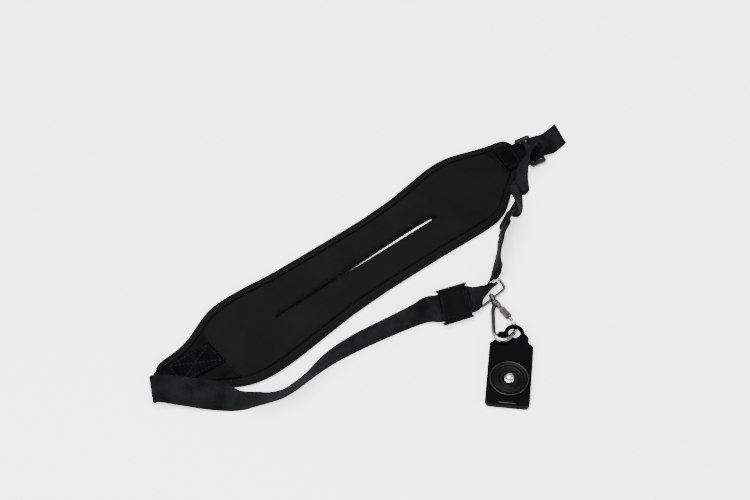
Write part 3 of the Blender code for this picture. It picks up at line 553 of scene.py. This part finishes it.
thread, tree, shader = painted("dark_thread", (0.0045, 0.0045, 0.0048), 0.6, Specular_IOR_Level=0.12)
twist = node(tree, "TexWave", Vector=node(tree, "TexCoord").outputs["Object"], Scale=900.0)
relief(tree, shader, twist.outputs["Fac"], 0.4, 0.1 * MM)
STITCH_INSET, STITCH_LEVEL = 5.4 * MM, 5.02 * MM
rim_closed = np.vstack((rim, rim[:1]))
binding_run = flat_run(inset(rim_closed, STITCH_INSET), STITCH_LEVEL)
binding_mesh = stitched("binding_stitches", [binding_run], long=2.6 * MM, gap=0.9 * MM, thick=0.42 * MM)
binding_thread = new_object("binding_stitches", binding_mesh)
dressed(binding_thread, thread)


# End patches. Smooth cloth sewn over each end of the pad before the webbing goes on. It is drawn tight by
# the stitches, so soft ridges run from the webbing out to the seam and the tape.

PATCH_FACE = 0.8 * MM


def patch_piece(cad_name, name, ridges, amount):
    """A patch of the frame as fine cloth with ridges, each a line, its width and its share of amount."""
    mesh = bpy.data.meshes.new(name)
    bm = welded(cad_name)
    bm.to_mesh(mesh)
    bm.free()
    obj = new_object(name, mesh)
    even_faces(obj, PATCH_FACE, 3)
    points = points_of(obj.data)
    low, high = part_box(cad_name)
    lift = np.zeros(len(points))
    for x0, y0, x1, y1, wide, share in ridges:
        first, last = np.array((x0, y0)) * MM, np.array((x1, y1)) * MM
        way = last - first
        t = np.clip((points[:, :2] - first) @ way / (way @ way), 0.0, 1.0)
        off = np.linalg.norm(points[:, :2] - first - t[:, None] * way, axis=1)
        lift += share * np.exp(-(off / (wide * MM)) ** 2) * np.sin(pi * (0.15 + 0.7 * t))
    above = np.clip((points[:, 2] - low.z) / (high.z - low.z), 0.0, 1.0)
    points[:, 2] += lift * above * amount
    obj.data.vertices.foreach_set("co", points.ravel())
    return obj


LEFT_RIDGES = (  # from x, y to x, y, width, share, in mm of the strap's own frame
    (-212.0, 92.5, -165.0, 96.5, 2.6, 0.9), (-200.0, 99.0, -168.0, 108.0, 3.0, 0.7),
    (-186.0, 93.5, -164.0, 103.0, 2.0, 0.6), (-205.0, 60.5, -168.0, 54.0, 2.6, 0.8),
    (-190.0, 62.0, -163.0, 60.0, 2.2, 0.6), (-176.0, 96.0, -163.0, 100.0, 1.8, 0.6),
)
RIGHT_RIDGES = (
    (160.0, 92.0, 176.0, 88.0, 2.0, 0.6), (160.0, 66.0, 176.0, 64.0, 2.0, 0.6),
)
left_patch = patch_piece("left_end_patch", "left_patch", LEFT_RIDGES, 1.3 * MM)
right_patch = patch_piece("right_end_patch", "right_patch", RIGHT_RIDGES, 0.5 * MM)

patch_cloth, tree, shader = painted("patch_cloth", (0.0016, 0.0016, 0.0017), 0.75, Specular_IOR_Level=0.03)
place = node(tree, "TexCoord").outputs["Object"]
grain = node(tree, "TexVoronoi", Vector=place, Scale=900.0)
folds = node(tree, "TexNoise", Vector=place, Scale=90.0, Detail=3.0)
skin = node(tree, "Math", operation="MULTIPLY_ADD", _0=folds.outputs["Fac"], _1=1.6,
            _2=grain.outputs["Distance"])
relief(tree, shader, skin.outputs["Value"], 0.35, 0.15 * MM)
for obj, cad_name in ((left_patch, "left_end_patch"), (right_patch, "right_end_patch")):
    dressed(obj, patch_cloth)
    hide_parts(cad_name)
    low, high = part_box(cad_name)

LEFT_SEAM, RIGHT_SEAM = 1.8 * MM, 4.2 * MM  # from the patch's inner edge
SEAM_SHORT, SEAM_RISE = 1.5 * MM, 0.05 * MM
seam_runs = []
for cad_name in ("left_end_patch", "right_end_patch"):
    low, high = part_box(cad_name)
    seam_x = high.x - LEFT_SEAM if cad_name == "left_end_patch" else low.x + RIGHT_SEAM
    y = np.linspace(low.y + SEAM_SHORT, high.y - SEAM_SHORT, 40)
    seam_runs.append(flat_run(np.column_stack((np.full(len(y), seam_x), y)), high.z + SEAM_RISE))
seam_mesh = stitched("patch_stitches", seam_runs, long=2.4 * MM, gap=0.8 * MM, thick=0.4 * MM)
seam_thread = new_object("patch_stitches", seam_mesh)
dressed(seam_thread, thread)


# Main webbing. One band of coarse polyester weave, 25 mm wide. It is sewn on the left end of the pad,
# folded back, and then stands on its edge through the stopper, ring, slider and buckle to its free tail.

PAD_MIDDLE = np.array((-14.6, 79.24, 0.0))  # in the strap's frame, in mm: the band's rows start from it
WEB, WEB_THICK = 25.0, 1.5
SEWN_WEB_Z, STANDS_AT = 7.4, 0.4  # heights of the sewn end's middle and of a standing edge


def heading(turn, lift=0.0):
    """A unit vector from its heading about +Z and its lift above the floor, in degrees."""
    flat = cos(radians(lift))
    return np.array((cos(radians(turn)) * flat, sin(radians(turn)) * flat, sin(radians(lift))))


def three_lines(rows):
    """Rows of the band's first edge, middle and second edge, nine numbers each."""
    lines = []
    for x, y, z, turn, lift in rows:
        edge, across = np.array((x, y, z)), heading(turn, lift) * WEB
        lines.append((*edge, *(edge + across / 2), *(edge + across)))
    return lines


def open_curve(rows, steps):
    """A smooth curve through rows, with a number of steps between two of them."""
    p = np.array(rows, float)
    p = np.vstack((p[:1], p, p[-1:]))
    curve = smooth_steps(p[:-3, None], p[1:-2, None], p[2:-1, None], p[3:, None], steps)
    return np.vstack((curve, p[-1:]))


WEB_STEPS = 6  # between two rows
SECTION_POINTS = 32
SELVEDGE = 0.28  # less gives a squarer edge


def web_surface(lines):
    """The band's middle surface: functions of a row and a share across, for places and directions off."""
    dense = open_curve(lines, WEB_STEPS).reshape(-1, 3, 3)
    first, middle, second = dense[:, 0], dense[:, 1], dense[:, 2]
    travel = np.gradient(middle, axis=0)
    weights = np.array((1.0, 3.0, 6.0, 8.0, 6.0, 3.0, 1.0))

    def at(share):
        """The band's places at a share across it."""
        return (first * (1 - share) * (1 - 2 * share) + middle * 4 * share * (1 - share)
                + second * share * (2 * share - 1))

    def off(share):
        """The directions off the band's face at a share across it, eased along the band."""
        across = (first * (4 * share - 3) + middle * (4 - 8 * share) + second * (4 * share - 1))
        out = np.cross(travel, across)
        out /= np.maximum(np.linalg.norm(out, axis=1, keepdims=True), 1e-9)
        padded = np.vstack((out[:1], out[:1], out[:1], out, out[-1:], out[-1:], out[-1:]))
        soft = sum(padded[k:k + len(out)] * w for k, w in enumerate(weights))
        return soft / np.linalg.norm(soft, axis=1, keepdims=True)

    return at, off


def web_mesh(name, lines):
    """The band as a mesh with rounded selvedges."""
    at, off = web_surface(lines)
    rings = []
    for k in range(SECTION_POINTS):
        turn = 2 * pi * (k + 0.5) / SECTION_POINTS
        wide = np.sign(cos(turn)) * abs(cos(turn)) ** SELVEDGE
        thick = np.sign(sin(turn)) * abs(sin(turn)) ** SELVEDGE
        share = 0.5 + 0.5 * wide
        rings.append(at(share) + off(share) * thick * WEB_THICK / 2)
    rings = (np.stack(rings, axis=1) + PAD_MIDDLE) * MM
    return swept(name, rings)


LEFT_END_ROWS = (  # x, y, z, heading across, lift across: sewn on the pad, then folded back
    (-150.0, -7.5, SEWN_WEB_Z, 90, 0), (-175.0, -4.5, SEWN_WEB_Z, 90, 0),
    (-199.0, -1.9, SEWN_WEB_Z, 86, 0), (-205.5, -1.8, 7.0, 80, 2), (-212.0, -1.5, 5.3, 71, 5),
    (-217.6, -0.9, 4.2, 63, 8), (-219.7, -0.3, 4.7, 62, 8), (-220.2, -0.4, 5.7, 61, 8),
    (-219.4, -1.1, 6.9, 59, 8), (-216.0, -4.5, 7.7, 55, 10), (-211.0, -9.8, 6.8, 48, 14),
    (-203.0, -18.0, 5.0, 43, 19), (-192.0, -29.6, 3.0, 42, 28), (-181.0, -40.0, 1.6, 44, 46),
    (-172.0, -47.2, 0.7, 50, 67), (-165.0, -51.6, 0.5, 57, 80),
)
LOWER_RUN_ROWS = (  # standing on its edge along the pad's near side
    (-159.7, -53.9, STANDS_AT, 64, 86), (-151.4, -57.0, STANDS_AT, 69, 94),
    (-143.2, -60.3, STANDS_AT, 71, 101), (-133.0, -63.8, STANDS_AT, 77, 103),
    (-121.0, -65.2, STANDS_AT, 87, 101), (-108.0, -65.0, STANDS_AT, 92, 99),
    (-90.0, -64.9, STANDS_AT, 90, 91), (-72.0, -66.2, STANDS_AT, 84, 86),
    (-50.0, -69.8, STANDS_AT, 79, 82), (-25.0, -75.2, STANDS_AT, 76, 79), (-2.0, -81.2, 0.8, 73, 73),
    (11.5, -87.0, 2.4, 71, 59), (18.2, -94.6, 4.7, 70, 46),
    (21.1, -96.3, 4.9, 70, 44), (33.3, -100.75, 4.9, 70, 44), (45.5, -105.2, 4.9, 70, 44),
)
THROUGH_RING_LINES = (  # first edge, middle and second edge: over the ring's left end, curled
    # round its far bar, down into its window and out under the bar
    (48.3, -106.4, 5.4, 51.7, -100.3, 14.6, 56.3, -92.1, 20.8),
    (50.6, -107.1, 6.0, 55.7, -101.2, 13.8, 62.5, -93.3, 17.2),
    (52.7, -107.4, 6.7, 60.3, -101.2, 12.4, 68.9, -94.3, 14.2),
    (54.8, -107.0, 7.2, 64.3, -99.8, 10.9, 75.2, -95.3, 12.3),
    (57.2, -105.4, 6.9, 66.8, -98.7, 9.2, 79.6, -97.6, 10.3),
    (58.7, -103.2, 5.0, 69.0, -98.5, 6.6, 83.3, -97.4, 7.2),
    (59.1, -100.8, 3.6, 70.5, -97.3, 4.9, 84.2, -96.7, 5.4),
    (59.4, -97.8, 2.9, 72.0, -95.6, 3.9, 84.8, -94.9, 4.8),
    (63.0, -93.9, 2.6, 75.5, -93.3, 4.0, 88.0, -93.1, 5.8),
    (69.5, -91.2, 2.2, 80.6, -91.8, 5.4, 90.3, -92.9, 10.8),
    (77.5, -89.2, 1.4, 85.4, -91.0, 9.4, 90.9, -93.0, 18.6),
)
AFTER_RING_ROWS = (
    (84.5, -86.4, 0.6, -45, 68), (90.5, -82.2, STANDS_AT, -58, 75),
    (98.0, -76.8, STANDS_AT, -56, 79), (108.0, -69.6, 1.2, -56, 79),
)
SLIDER_AT, SLIDER_HEADING, SLIDER_LIFT = (130.1, -56.4, 16.1), 31.0, 77.0
SLIDER_WEAVE = (  # along the slider, out of its middle plane
    (-15.0, 0.6), (-10.5, 2.3), (-7.5, 2.5), (-4.4, 0.0), (-1.3, -2.45), (1.3, -2.45),
    (4.4, 0.0), (7.5, 2.5), (10.5, 2.3), (15.0, 0.4),
)
RIGHT_RUN_ROWS = (  # standing on its edge beside the pad's end, leaning over it in two bulges
    (147.2, -51.6, 1.3, 150, 87), (152.0, -52.6, 0.8, 147, 78), (157.5, -49.7, 0.7, 144, 66),
    (162.8, -44.4, 0.7, 142, 60), (166.6, -40.2, 0.7, 144, 63), (169.4, -36.9, 0.7, 146, 68),
    (172.6, -38.4, 0.7, 147, 62), (178.3, -36.4, 0.7, 142, 57), (182.6, -31.0, 0.7, 141, 61),
    (186.8, -25.6, 0.9, 135, 72), (191.2, -20.5, 4.2, 119, 86), (195.5, -15.2, 9.0, 114, 96),
    (199.5, -9.0, 10.2, -60, 68), (204.4, -1.5, 10.4, -80, 38), (207.6, 4.6, 9.6, -94, 15),
)
BUCKLE_AT, BUCKLE_HEADING = (208.0, -5.5), -12.0
BUCKLE_WEAVE = (  # along the buckle, height: down its first slot, under the bar, up its second
    (-2.25, 7.0), (-2.25, 4.6), (-2.15, 3.0), (-1.4, 1.85), (0.75, 1.6), (2.9, 1.85),
    (3.65, 3.0), (3.75, 4.6), (4.5, 6.2), (7.0, 6.65), (11.0, 5.9),
)
TAIL_ROWS = (
    (225.0, 4.4, 4.0, -103, 0), (232.0, 3.7, 1.9, -105, 0), (241.0, 4.2, 1.6, -106, 0),
    (250.0, 5.0, 1.6, -108, 0),
)

slider_along = heading(SLIDER_HEADING)
slider_across = heading(SLIDER_HEADING - 90, SLIDER_LIFT)
slider_out = np.cross(slider_along, slider_across)
slider_rows = [
    (*(np.array(SLIDER_AT) + slider_along * run + slider_out * out - slider_across * WEB / 2),
     SLIDER_HEADING - 90, SLIDER_LIFT)
    for run, out in SLIDER_WEAVE
]


def buckle_rows(table):
    """Rows of a band that lies along the buckle at the heights in a table."""
    along, across = heading(BUCKLE_HEADING), heading(BUCKLE_HEADING - 90)
    start = np.array((*BUCKLE_AT, 0.0)) - across * WEB / 2
    return [(*(start + along * run + (0.0, 0.0, level)), BUCKLE_HEADING - 90, 0) for run, level in table]


main_lines = [
    *three_lines((*LEFT_END_ROWS, *LOWER_RUN_ROWS)), *THROUGH_RING_LINES,
    *three_lines((*AFTER_RING_ROWS, *slider_rows, *RIGHT_RUN_ROWS)),
    *three_lines((*buckle_rows(BUCKLE_WEAVE), *TAIL_ROWS)),
]
webbing = new_object("woven_band", web_mesh("woven_band", main_lines))

WEFT, WARP = 1.45 * MM, 1.15 * MM  # pitch of the yarns along and across the band
web_cloth, tree, shader = painted("webbing", (0.002, 0.0022, 0.0024), 0.8, Specular_IOR_Level=0.02)
metres = node(tree, "UVMap")
metres.uv_map = "metres"
axes = node(tree, "SeparateXYZ", Vector=metres.outputs["UV"])
column = node(tree, "Math", operation="DIVIDE", _0=axes.outputs["Y"], _1=WARP)
column_index = node(tree, "Math", operation="FLOOR", _0=column.outputs["Value"])
row = node(tree, "Math", operation="DIVIDE", _0=axes.outputs["X"], _1=WEFT)
shifted = node(tree, "Math", operation="MULTIPLY_ADD", _0=column_index.outputs["Value"], _1=0.5,
               _2=row.outputs["Value"])
row_wave = node(tree, "Math", operation="PINGPONG", _0=shifted.outputs["Value"], _1=0.5)
column_wave = node(tree, "Math", operation="PINGPONG", _0=column.outputs["Value"], _1=0.5)
hill = node(tree, "Math", operation="MULTIPLY", _0=row_wave.outputs["Value"],
            _1=column_wave.outputs["Value"])
hill_root = node(tree, "Math", operation="SQRT", _0=hill.outputs["Value"])
relief(tree, shader, hill_root.outputs["Value"], 0.8, 0.5 * MM)
wear = node(tree, "TexNoise", Vector=metres.outputs["UV"], Scale=60.0, Detail=4.0)
# The weave's hollows are painted darker than its crests as painted shade, over a tone that varies at random.
tone = node(tree, "Math", operation="MULTIPLY_ADD", _0=hill_root.outputs["Value"], _1=1.1,
            _2=wear.outputs["Fac"])
shade = shades(tree, tone.outputs["Value"], (0.45, (0.0003, 0.00035, 0.0004)),
               (1.0, (0.0064, 0.0070, 0.0075)))
# The band's sewn end and its fold are painted darker than its standing run: painted shade where it lies flat
# on the pad.
SEWN_TO, SHADE_ENDS_AT = 45.0 * MM, 75.0 * MM  # along the band: painted shade, full on its sewn end and gone by the second place
sewn_end_shade = node(tree, "MapRange", Value=axes.outputs["X"], _1=SEWN_TO, _2=SHADE_ENDS_AT, _3=0.35, _4=1.0)
shaded_band = node(tree, "HueSaturation", Color=shade, Value=sewn_end_shade.outputs["Result"])
tree.links.new(shaded_band.outputs["Color"], shader.inputs["Base Color"])
dressed(webbing, web_cloth)
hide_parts("main_webbing")


# Right tab. A short loop of the same webbing, sewn on the right end patch and round the buckle's first
# bar, so that the buckle stays on the pad.

TAB_LOOP = (  # along the buckle, height: off the pad, round the buckle's first bar
    (-31.0, SEWN_WEB_Z), (-24.0, SEWN_WEB_Z), (-16.0, SEWN_WEB_Z), (-11.5, 7.25), (-8.5, 6.75),
    (-6.6, 6.6), (-5.0, 6.15), (-4.35, 5.0), (-4.3, 4.0), (-4.35, 3.0), (-5.0, 1.95),
    (-6.6, 1.5), (-9.2, 1.5),
)
tab_lines = three_lines(buckle_rows(TAB_LOOP))
tab = new_object("buckle_tab", web_mesh("buckle_tab", tab_lines))
dressed(tab, web_cloth)
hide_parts("right_tab")


# Sewing of the webbing. A box of stitches with a cross in it holds the band on the left patch, and a
# smaller box holds the tab on the right patch. Both are sewn in the pad's own dark thread.

def on_web(lines, first, last, rise):
    """A straight run of stitches over a band between two places, each a row and a share across."""
    at, off = web_surface(lines)
    first, last = np.array(first), np.array(last)
    steps = 12
    points, outs = [], []
    for k in range(steps + 1):
        row, share = first + (last - first) * k / steps
        row *= WEB_STEPS
        i = min(int(row), len(at(0.5)) - 2)
        t = row - i
        outs.append(off(share)[i] * (1 - t) + off(share)[i + 1] * t)
        points.append(at(share)[i] * (1 - t) + at(share)[i + 1] * t + outs[-1] * rise)
        if rise < 0:
            outs[-1] = -outs[-1]
    return (np.array(points) + PAD_MIDDLE) * MM, np.array(outs)


def upper_face(lines):
    """How far a band's upper face lies from its middle at its first row, along its direction off."""
    return WEB_THICK / 2 if web_surface(lines)[1](0.5)[0][2] > 0 else -WEB_THICK / 2


def box_sides(first, last):
    """The sides of a box of stitches between two rows of a band."""
    left, right = 0.1, 0.9
    return [((first, left), (last, left)), ((first, right), (last, right)),
            ((first, left), (first, right)), ((last, left), (last, right))]


BOX_ROWS, TAB_ROWS = (0.12, 1.6), (0.15, 1.9)
cross = [((BOX_ROWS[0], 0.1), (BOX_ROWS[1], 0.9)), ((BOX_ROWS[0], 0.9), (BOX_ROWS[1], 0.1))]
web_runs = [on_web(main_lines, *ends, upper_face(main_lines)) for ends in box_sides(*BOX_ROWS) + cross]
web_runs += [on_web(tab_lines, *ends, upper_face(tab_lines)) for ends in box_sides(*TAB_ROWS)]
web_thread_mesh = stitched("webbing_stitches", web_runs, long=2.6 * MM, gap=0.8 * MM, thick=0.5 * MM)
web_thread = new_object("webbing_stitches", web_thread_mesh)
dressed(web_thread, thread)


# Stopper and slider. The stopper is a moulded sleeve that the band runs through, with a rail along each
# side and ribs at its ends. Both have the fine grain of their mould.

def in_finish(name, paint, angle):
    """A node of the frame in its material, smooth apart from its edges sharper than an angle in degrees."""
    mesh = frame["nodes"][name].data
    mesh.materials.clear()
    mesh.materials.append(paint)
    mesh.shade_smooth()
    mesh.set_sharp_from_angle(angle=radians(angle))


def uneven_gloss(tree, shader, marks, glossiest, mattest):
    """Roughness between two values by the strength of marks on the surface."""
    gloss = node(tree, "MapRange", Value=marks.outputs["Fac"], _3=glossiest, _4=mattest)
    tree.links.new(gloss.outputs["Result"], shader.inputs["Roughness"])


moulded, tree, shader = painted("moulded_plastic", (0.0006, 0.0006, 0.0007), 0.42, Specular_IOR_Level=0.07)
place = node(tree, "TexCoord").outputs["Object"]
spark = node(tree, "TexNoise", Vector=place, Scale=1800.0, Detail=2.0)
relief(tree, shader, spark.outputs["Fac"], 0.25, 0.1 * MM)
uneven_gloss(tree, shader, node(tree, "TexNoise", Vector=place, Scale=70.0, Detail=3.0), 0.34, 0.5)
for name in ("strap_stopper", "web_slider"):
    in_finish(name, moulded, 35)


def bars(name, pieces, at, along, across, rounding):
    """A mesh of rounded bars, each from its middle and its size along, across and out, in mm."""
    lay = np.column_stack((along, across, np.cross(along, across)))
    bm = bmesh.new()
    for middle, size in pieces:
        for vert in bmesh.ops.create_cube(bm, size=1.0)["verts"]:
            vert.co = Vector((at + lay @ (np.array(middle) + np.array(vert.co) * size)) * MM)
    bmesh.ops.bevel(bm, geom=bm.edges[:], offset=rounding * MM, segments=2, profile=0.5, affect="EDGES")
    mesh = bpy.data.meshes.new(name)
    bm.to_mesh(mesh)
    bm.free()
    return mesh


STOPPER_AT = np.array((21.8, -13.06, 13.6))  # in the strap's frame, in mm
STOPPER_ALONG, STOPPER_ACROSS = heading(-20), heading(70, 44)
RAIL_ASIDE, RAIL_SIZE = 14.9, (27.8, 1.5, 5.4)
RIBS_ALONG, RIB_OUT = (-12.1, -11.0, 8.4, 9.6, 10.8, 12.0), 3.75
RIB_SIZE = (0.55, 20.4, 0.34)
sleeve_parts = [((0.0, side * RAIL_ASIDE, 0.0), RAIL_SIZE) for side in (-1, 1)]
sleeve_parts += [((along, 0.0, RIB_OUT), RIB_SIZE) for along in RIBS_ALONG]
rails_mesh = bars("stopper_rails", sleeve_parts, STOPPER_AT, STOPPER_ALONG, STOPPER_ACROSS, 0.12)
sleeve_rails = new_object("stopper_rails", rails_mesh)
dressed(sleeve_rails, moulded)
sleeve_rails.data.set_sharp_from_angle(angle=radians(35))


# Buckle. A flat moulding with two slots in a harder, glossier grade. The tab at the pad's right end holds
# its first bar, and the band runs round its second one.

hard, tree, shader = painted("buckle_plastic", (0.004, 0.004, 0.0044), 0.3, Specular_IOR_Level=0.28)
place = node(tree, "TexCoord").outputs["Object"]
uneven_gloss(tree, shader, node(tree, "TexNoise", Vector=place, Scale=120.0, Detail=3.0), 0.24, 0.38)
in_finish("ladder_buckle", hard, 35)


# Ring, hook and gate. Nickelled steel wire: a rectangular ring on the band, with a swivel whose pin
# carries the snap hook, and a round gate that closes it. All of it is drawn wire, bent cold.

polished, tree, shader = painted("polished_steel", (0.14, 0.139, 0.130), 0.2, 1.0)
place = node(tree, "TexCoord").outputs["Object"]
scratches = node(tree, "TexNoise", Vector=place, Scale=400.0, Detail=5.0)
uneven_gloss(tree, shader, scratches, 0.16, 0.32)
relief(tree, shader, scratches.outputs["Fac"], 0.06, 0.2 * MM)
for name in ("strap_ring", "snap_hook", "hook_gate"):
    in_finish(name, polished, 40)


# Lock nut. A knurled sleeve with chamfered ends that screws along the gate and keeps it shut. It is turned
# from the same steel, and its flutes are pressed in.

def turned_rings(profile, steps, radius_at=None):
    """Rings of points about +Z through (radius, height) pairs, in mm, to be laid on an axis."""
    turns = 2 * pi * np.arange(steps) / steps
    rings = []
    for radius, height in profile:
        radii = radius_at(radius, height, turns) if radius_at else np.full(steps, radius)
        rings.append(np.column_stack((radii * np.cos(turns), radii * np.sin(turns), np.full(steps, height))))
    return np.array(rings)


def laid(rings, origin, axis):
    """Rings in mm about +Z, laid on an axis through an origin, in metres."""
    turn = np.array(Vector(axis).to_track_quat("Z", "Y").to_matrix())
    return rings @ turn.T * MM + np.array(origin)


joints = {joint["name"]: joint for joint in frame["record"]["behaviour"]["joints"]}
NUT_FROM, NUT_TO = 3.2, 15.0  # along the gate from its hinge, in mm
NUT_RADIUS, NUT_BORE = 3.15, 1.9
FLUTES, FLUTE_DEPTH, FLUTE_FADE, CHAMFER = 18, 0.34, 0.5, 0.9


def fluted(radius, height, turns):
    """The nut's radius round a turn: flutes on the sleeve, none at its chamfers or in its bore."""
    into = np.clip((min(height - NUT_FROM, NUT_TO - height) - CHAMFER) / FLUTE_FADE, 0.0, 1.0)
    on_sleeve = into * (radius > NUT_RADIUS - 0.1)
    return radius - FLUTE_DEPTH * on_sleeve * np.abs(np.sin(turns * FLUTES / 2)) ** 0.7


nut_profile = [(NUT_BORE, NUT_FROM), (NUT_RADIUS - 0.75, NUT_FROM), (NUT_RADIUS - 0.3, NUT_FROM + 0.4)]
nut_profile += [(NUT_RADIUS, height) for height in np.linspace(NUT_FROM + CHAMFER, NUT_TO - CHAMFER, 14)]
nut_profile += [(NUT_RADIUS - 0.3, NUT_TO - 0.4), (NUT_RADIUS - 0.75, NUT_TO), (NUT_BORE, NUT_TO)]
nut_rings = laid(turned_rings(nut_profile, FLUTES * 6, fluted), joints["gate_hinge"]["pos_m"],
                 joints["nut_slide"]["axis"])
nut = new_object("knurled_nut", swept("knurled_nut", nut_rings, joined=True))
# Painted shade: the nut's steel is given a darker colour than the ring's, though it is the same steel.
nut_steel, tree, shader = painted("nut_steel", (0.055, 0.054, 0.048), 0.3, 1.0)
place = node(tree, "TexCoord").outputs["Object"]
rubbed = node(tree, "TexNoise", Vector=place, Scale=700.0, Detail=4.0)
uneven_gloss(tree, shader, rubbed, 0.22, 0.42)
relief(tree, shader, rubbed.outputs["Fac"], 0.15, 0.2 * MM)
dressed(nut, nut_steel, "nut")
nut.data.set_sharp_from_angle(angle=radians(50))
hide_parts("gate_nut")


# Mounting plate and its seat. A milled plate in satin black paint, with a rubber disc let into it whose
# rings grip the base of a camera. A lighter strip along the slot's edge is a painted highlight where its
# wall catches the light, and the disc ends in a bead.

satin, tree, shader = painted("plate_paint", (0.0009, 0.0010, 0.0011), 0.55, Specular_IOR_Level=0.018)
place = node(tree, "TexCoord").outputs["Object"]
peel = node(tree, "TexNoise", Vector=place, Scale=900.0, Detail=3.0)
relief(tree, shader, peel.outputs["Fac"], 0.15, 0.1 * MM)
uneven_gloss(tree, shader, node(tree, "TexNoise", Vector=place, Scale=50.0), 0.5, 0.62)
in_finish("mount_plate", satin, 35)

PLATE_AT = np.array((14.0, -92.56, 0.0))
PLATE_ALONG, PLATE_ACROSS = heading(43.6), heading(133.6)
# A thin lighter strip along the slot's edge: a painted highlight where the slot's wall catches the light.
SLOT_EDGE = ((-29.25, 0.0, 6.95), (0.75, 14.6, 0.2))  # its middle and size along, across and up
slot_highlight_mesh = bars("slot_highlight_strip", [SLOT_EDGE], PLATE_AT, PLATE_ALONG, PLATE_ACROSS, 0.08)
slot_highlight_strip = new_object("slot_highlight_strip", slot_highlight_mesh)
slot_highlight_paint = painted("slot_highlight_paint", (0.016, 0.018, 0.021), 0.4, Specular_IOR_Level=0.2)[0]
dressed(slot_highlight_strip, slot_highlight_paint, "hook")

SEAT_AT = np.array(joints["screw_turn"]["pos_m"]) * (1.0, 1.0, 0.0)  # on the floor, in metres
SEAT_RADIUS, SEAT_LOW, SEAT_TOP = 16.5, 7.3, 9.1
SEAT_RINGS = (  # radius, height: the bore, the flat rings and grooves, then the rim's raised bead
    (4.9, SEAT_LOW), (4.9, 8.7), (5.2, 9.0), (7.4, 9.0), (7.7, 8.9), (7.9, 8.45), (8.3, 8.4),
    (8.55, 8.5), (8.8, 8.9), (10.1, 8.95), (10.3, 8.75), (10.6, 8.75), (10.8, 8.95), (12.1, 8.95),
    (12.4, 8.8), (12.6, 8.5), (13.1, 8.4), (13.5, 8.45), (14.6, 8.5), (14.9, 8.6), (15.1, 8.9),
    (15.4, 9.07), (15.8, SEAT_TOP), (16.2, 9.0), (16.42, 8.75), (SEAT_RADIUS, 8.4),
    (SEAT_RADIUS, SEAT_LOW),
)
seat_rings = laid(turned_rings(SEAT_RINGS, 96), SEAT_AT, (0.0, 0.0, 1.0))
seat = new_object("ringed_seat", swept("ringed_seat", seat_rings[::-1], joined=True))
rubber, tree, shader = painted("rubber", (0.0005, 0.0005, 0.0005), 0.42, Specular_IOR_Level=0.06)
place = node(tree, "TexCoord").outputs["Object"]
matt = node(tree, "TexNoise", Vector=place, Scale=2200.0, Detail=2.0)
relief(tree, shader, matt.outputs["Fac"], 0.3, 0.1 * MM)
dressed(seat, rubber, "hook")
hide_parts("plate_pad")

BEAD_RADIUS, BEAD_LEVEL, BEAD_ROUND = 16.15, 8.85, 0.35
around = 2 * pi * np.arange(12) / 12
bead_profile = [(BEAD_RADIUS + BEAD_ROUND * cos(t), BEAD_LEVEL + BEAD_ROUND * sin(t)) for t in around]
bead_rings = laid(turned_rings(bead_profile, 96), SEAT_AT, (0.0, 0.0, 1.0))
bead = new_object("seat_bead", swept("seat_bead", bead_rings[::-1], joined=True))
# The bead's lighter colour is a painted highlight round the disc's rim; its gloss is its own.
bead_highlight_rubber = painted("bead_highlight_rubber", (0.003, 0.003, 0.003), 0.3, Specular_IOR_Level=0.35)[0]
dressed(bead, bead_highlight_rubber, "hook")


# Camera screw. A captive steel screw that stands up through the seat: a flat head under the plate, a
# collar that the seat hides, a standard camera thread and a rounded, polished tip.

THREAD_RADIUS, THREAD_DEPTH, PITCH = 3.175, 0.5, 1.27
THREAD_FROM, THREAD_TO = 9.5, 12.3
COLLAR = 4.4  # its radius


def threaded(radius, height, turns):
    """The screw's radius round a turn: a V thread between two heights."""
    if not THREAD_FROM < height < THREAD_TO:
        return np.full(len(turns), radius)
    phase = (height / PITCH - turns / (2 * pi)) % 1.0
    return THREAD_RADIUS - THREAD_DEPTH * np.abs(2 * phase - 1)


screw_profile = [
    (0.02, 0.3), (7.1, 0.3), (7.5, 0.7), (7.5, 2.7), (7.1, 3.1), (THREAD_RADIUS, 3.1),
    (THREAD_RADIUS, 7.4), (COLLAR - 0.2, 7.4), (COLLAR, 7.6), (COLLAR, 8.7), (COLLAR - 0.1, 9.05),
    (COLLAR - 0.45, 9.3), (THREAD_RADIUS, 9.4),
]
screw_profile += [(THREAD_RADIUS, height) for height in np.arange(9.52, THREAD_TO, 0.14)]
screw_profile += [
    (THREAD_RADIUS - 0.1, 12.4), (2.95, 12.75), (2.6, 13.05), (2.0, 13.25), (1.2, 13.36), (0.02, 13.4),
]
screw_rings = laid(turned_rings(screw_profile, 48, threaded), SEAT_AT, (0.0, 0.0, 1.0))
screw = new_object("threaded_screw", swept("threaded_screw", screw_rings))
screw_steel, tree, shader = painted("screw_steel", (0.62, 0.61, 0.58), 0.2, 1.0)
place = node(tree, "TexCoord").outputs["Object"]
turning = node(tree, "TexNoise", Vector=place, Scale=600.0, Detail=4.0)
uneven_gloss(tree, shader, turning, 0.14, 0.30)
dressed(screw, screw_steel, "screw")
screw.data.set_sharp_from_angle(angle=radians(50))
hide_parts("camera_screw")
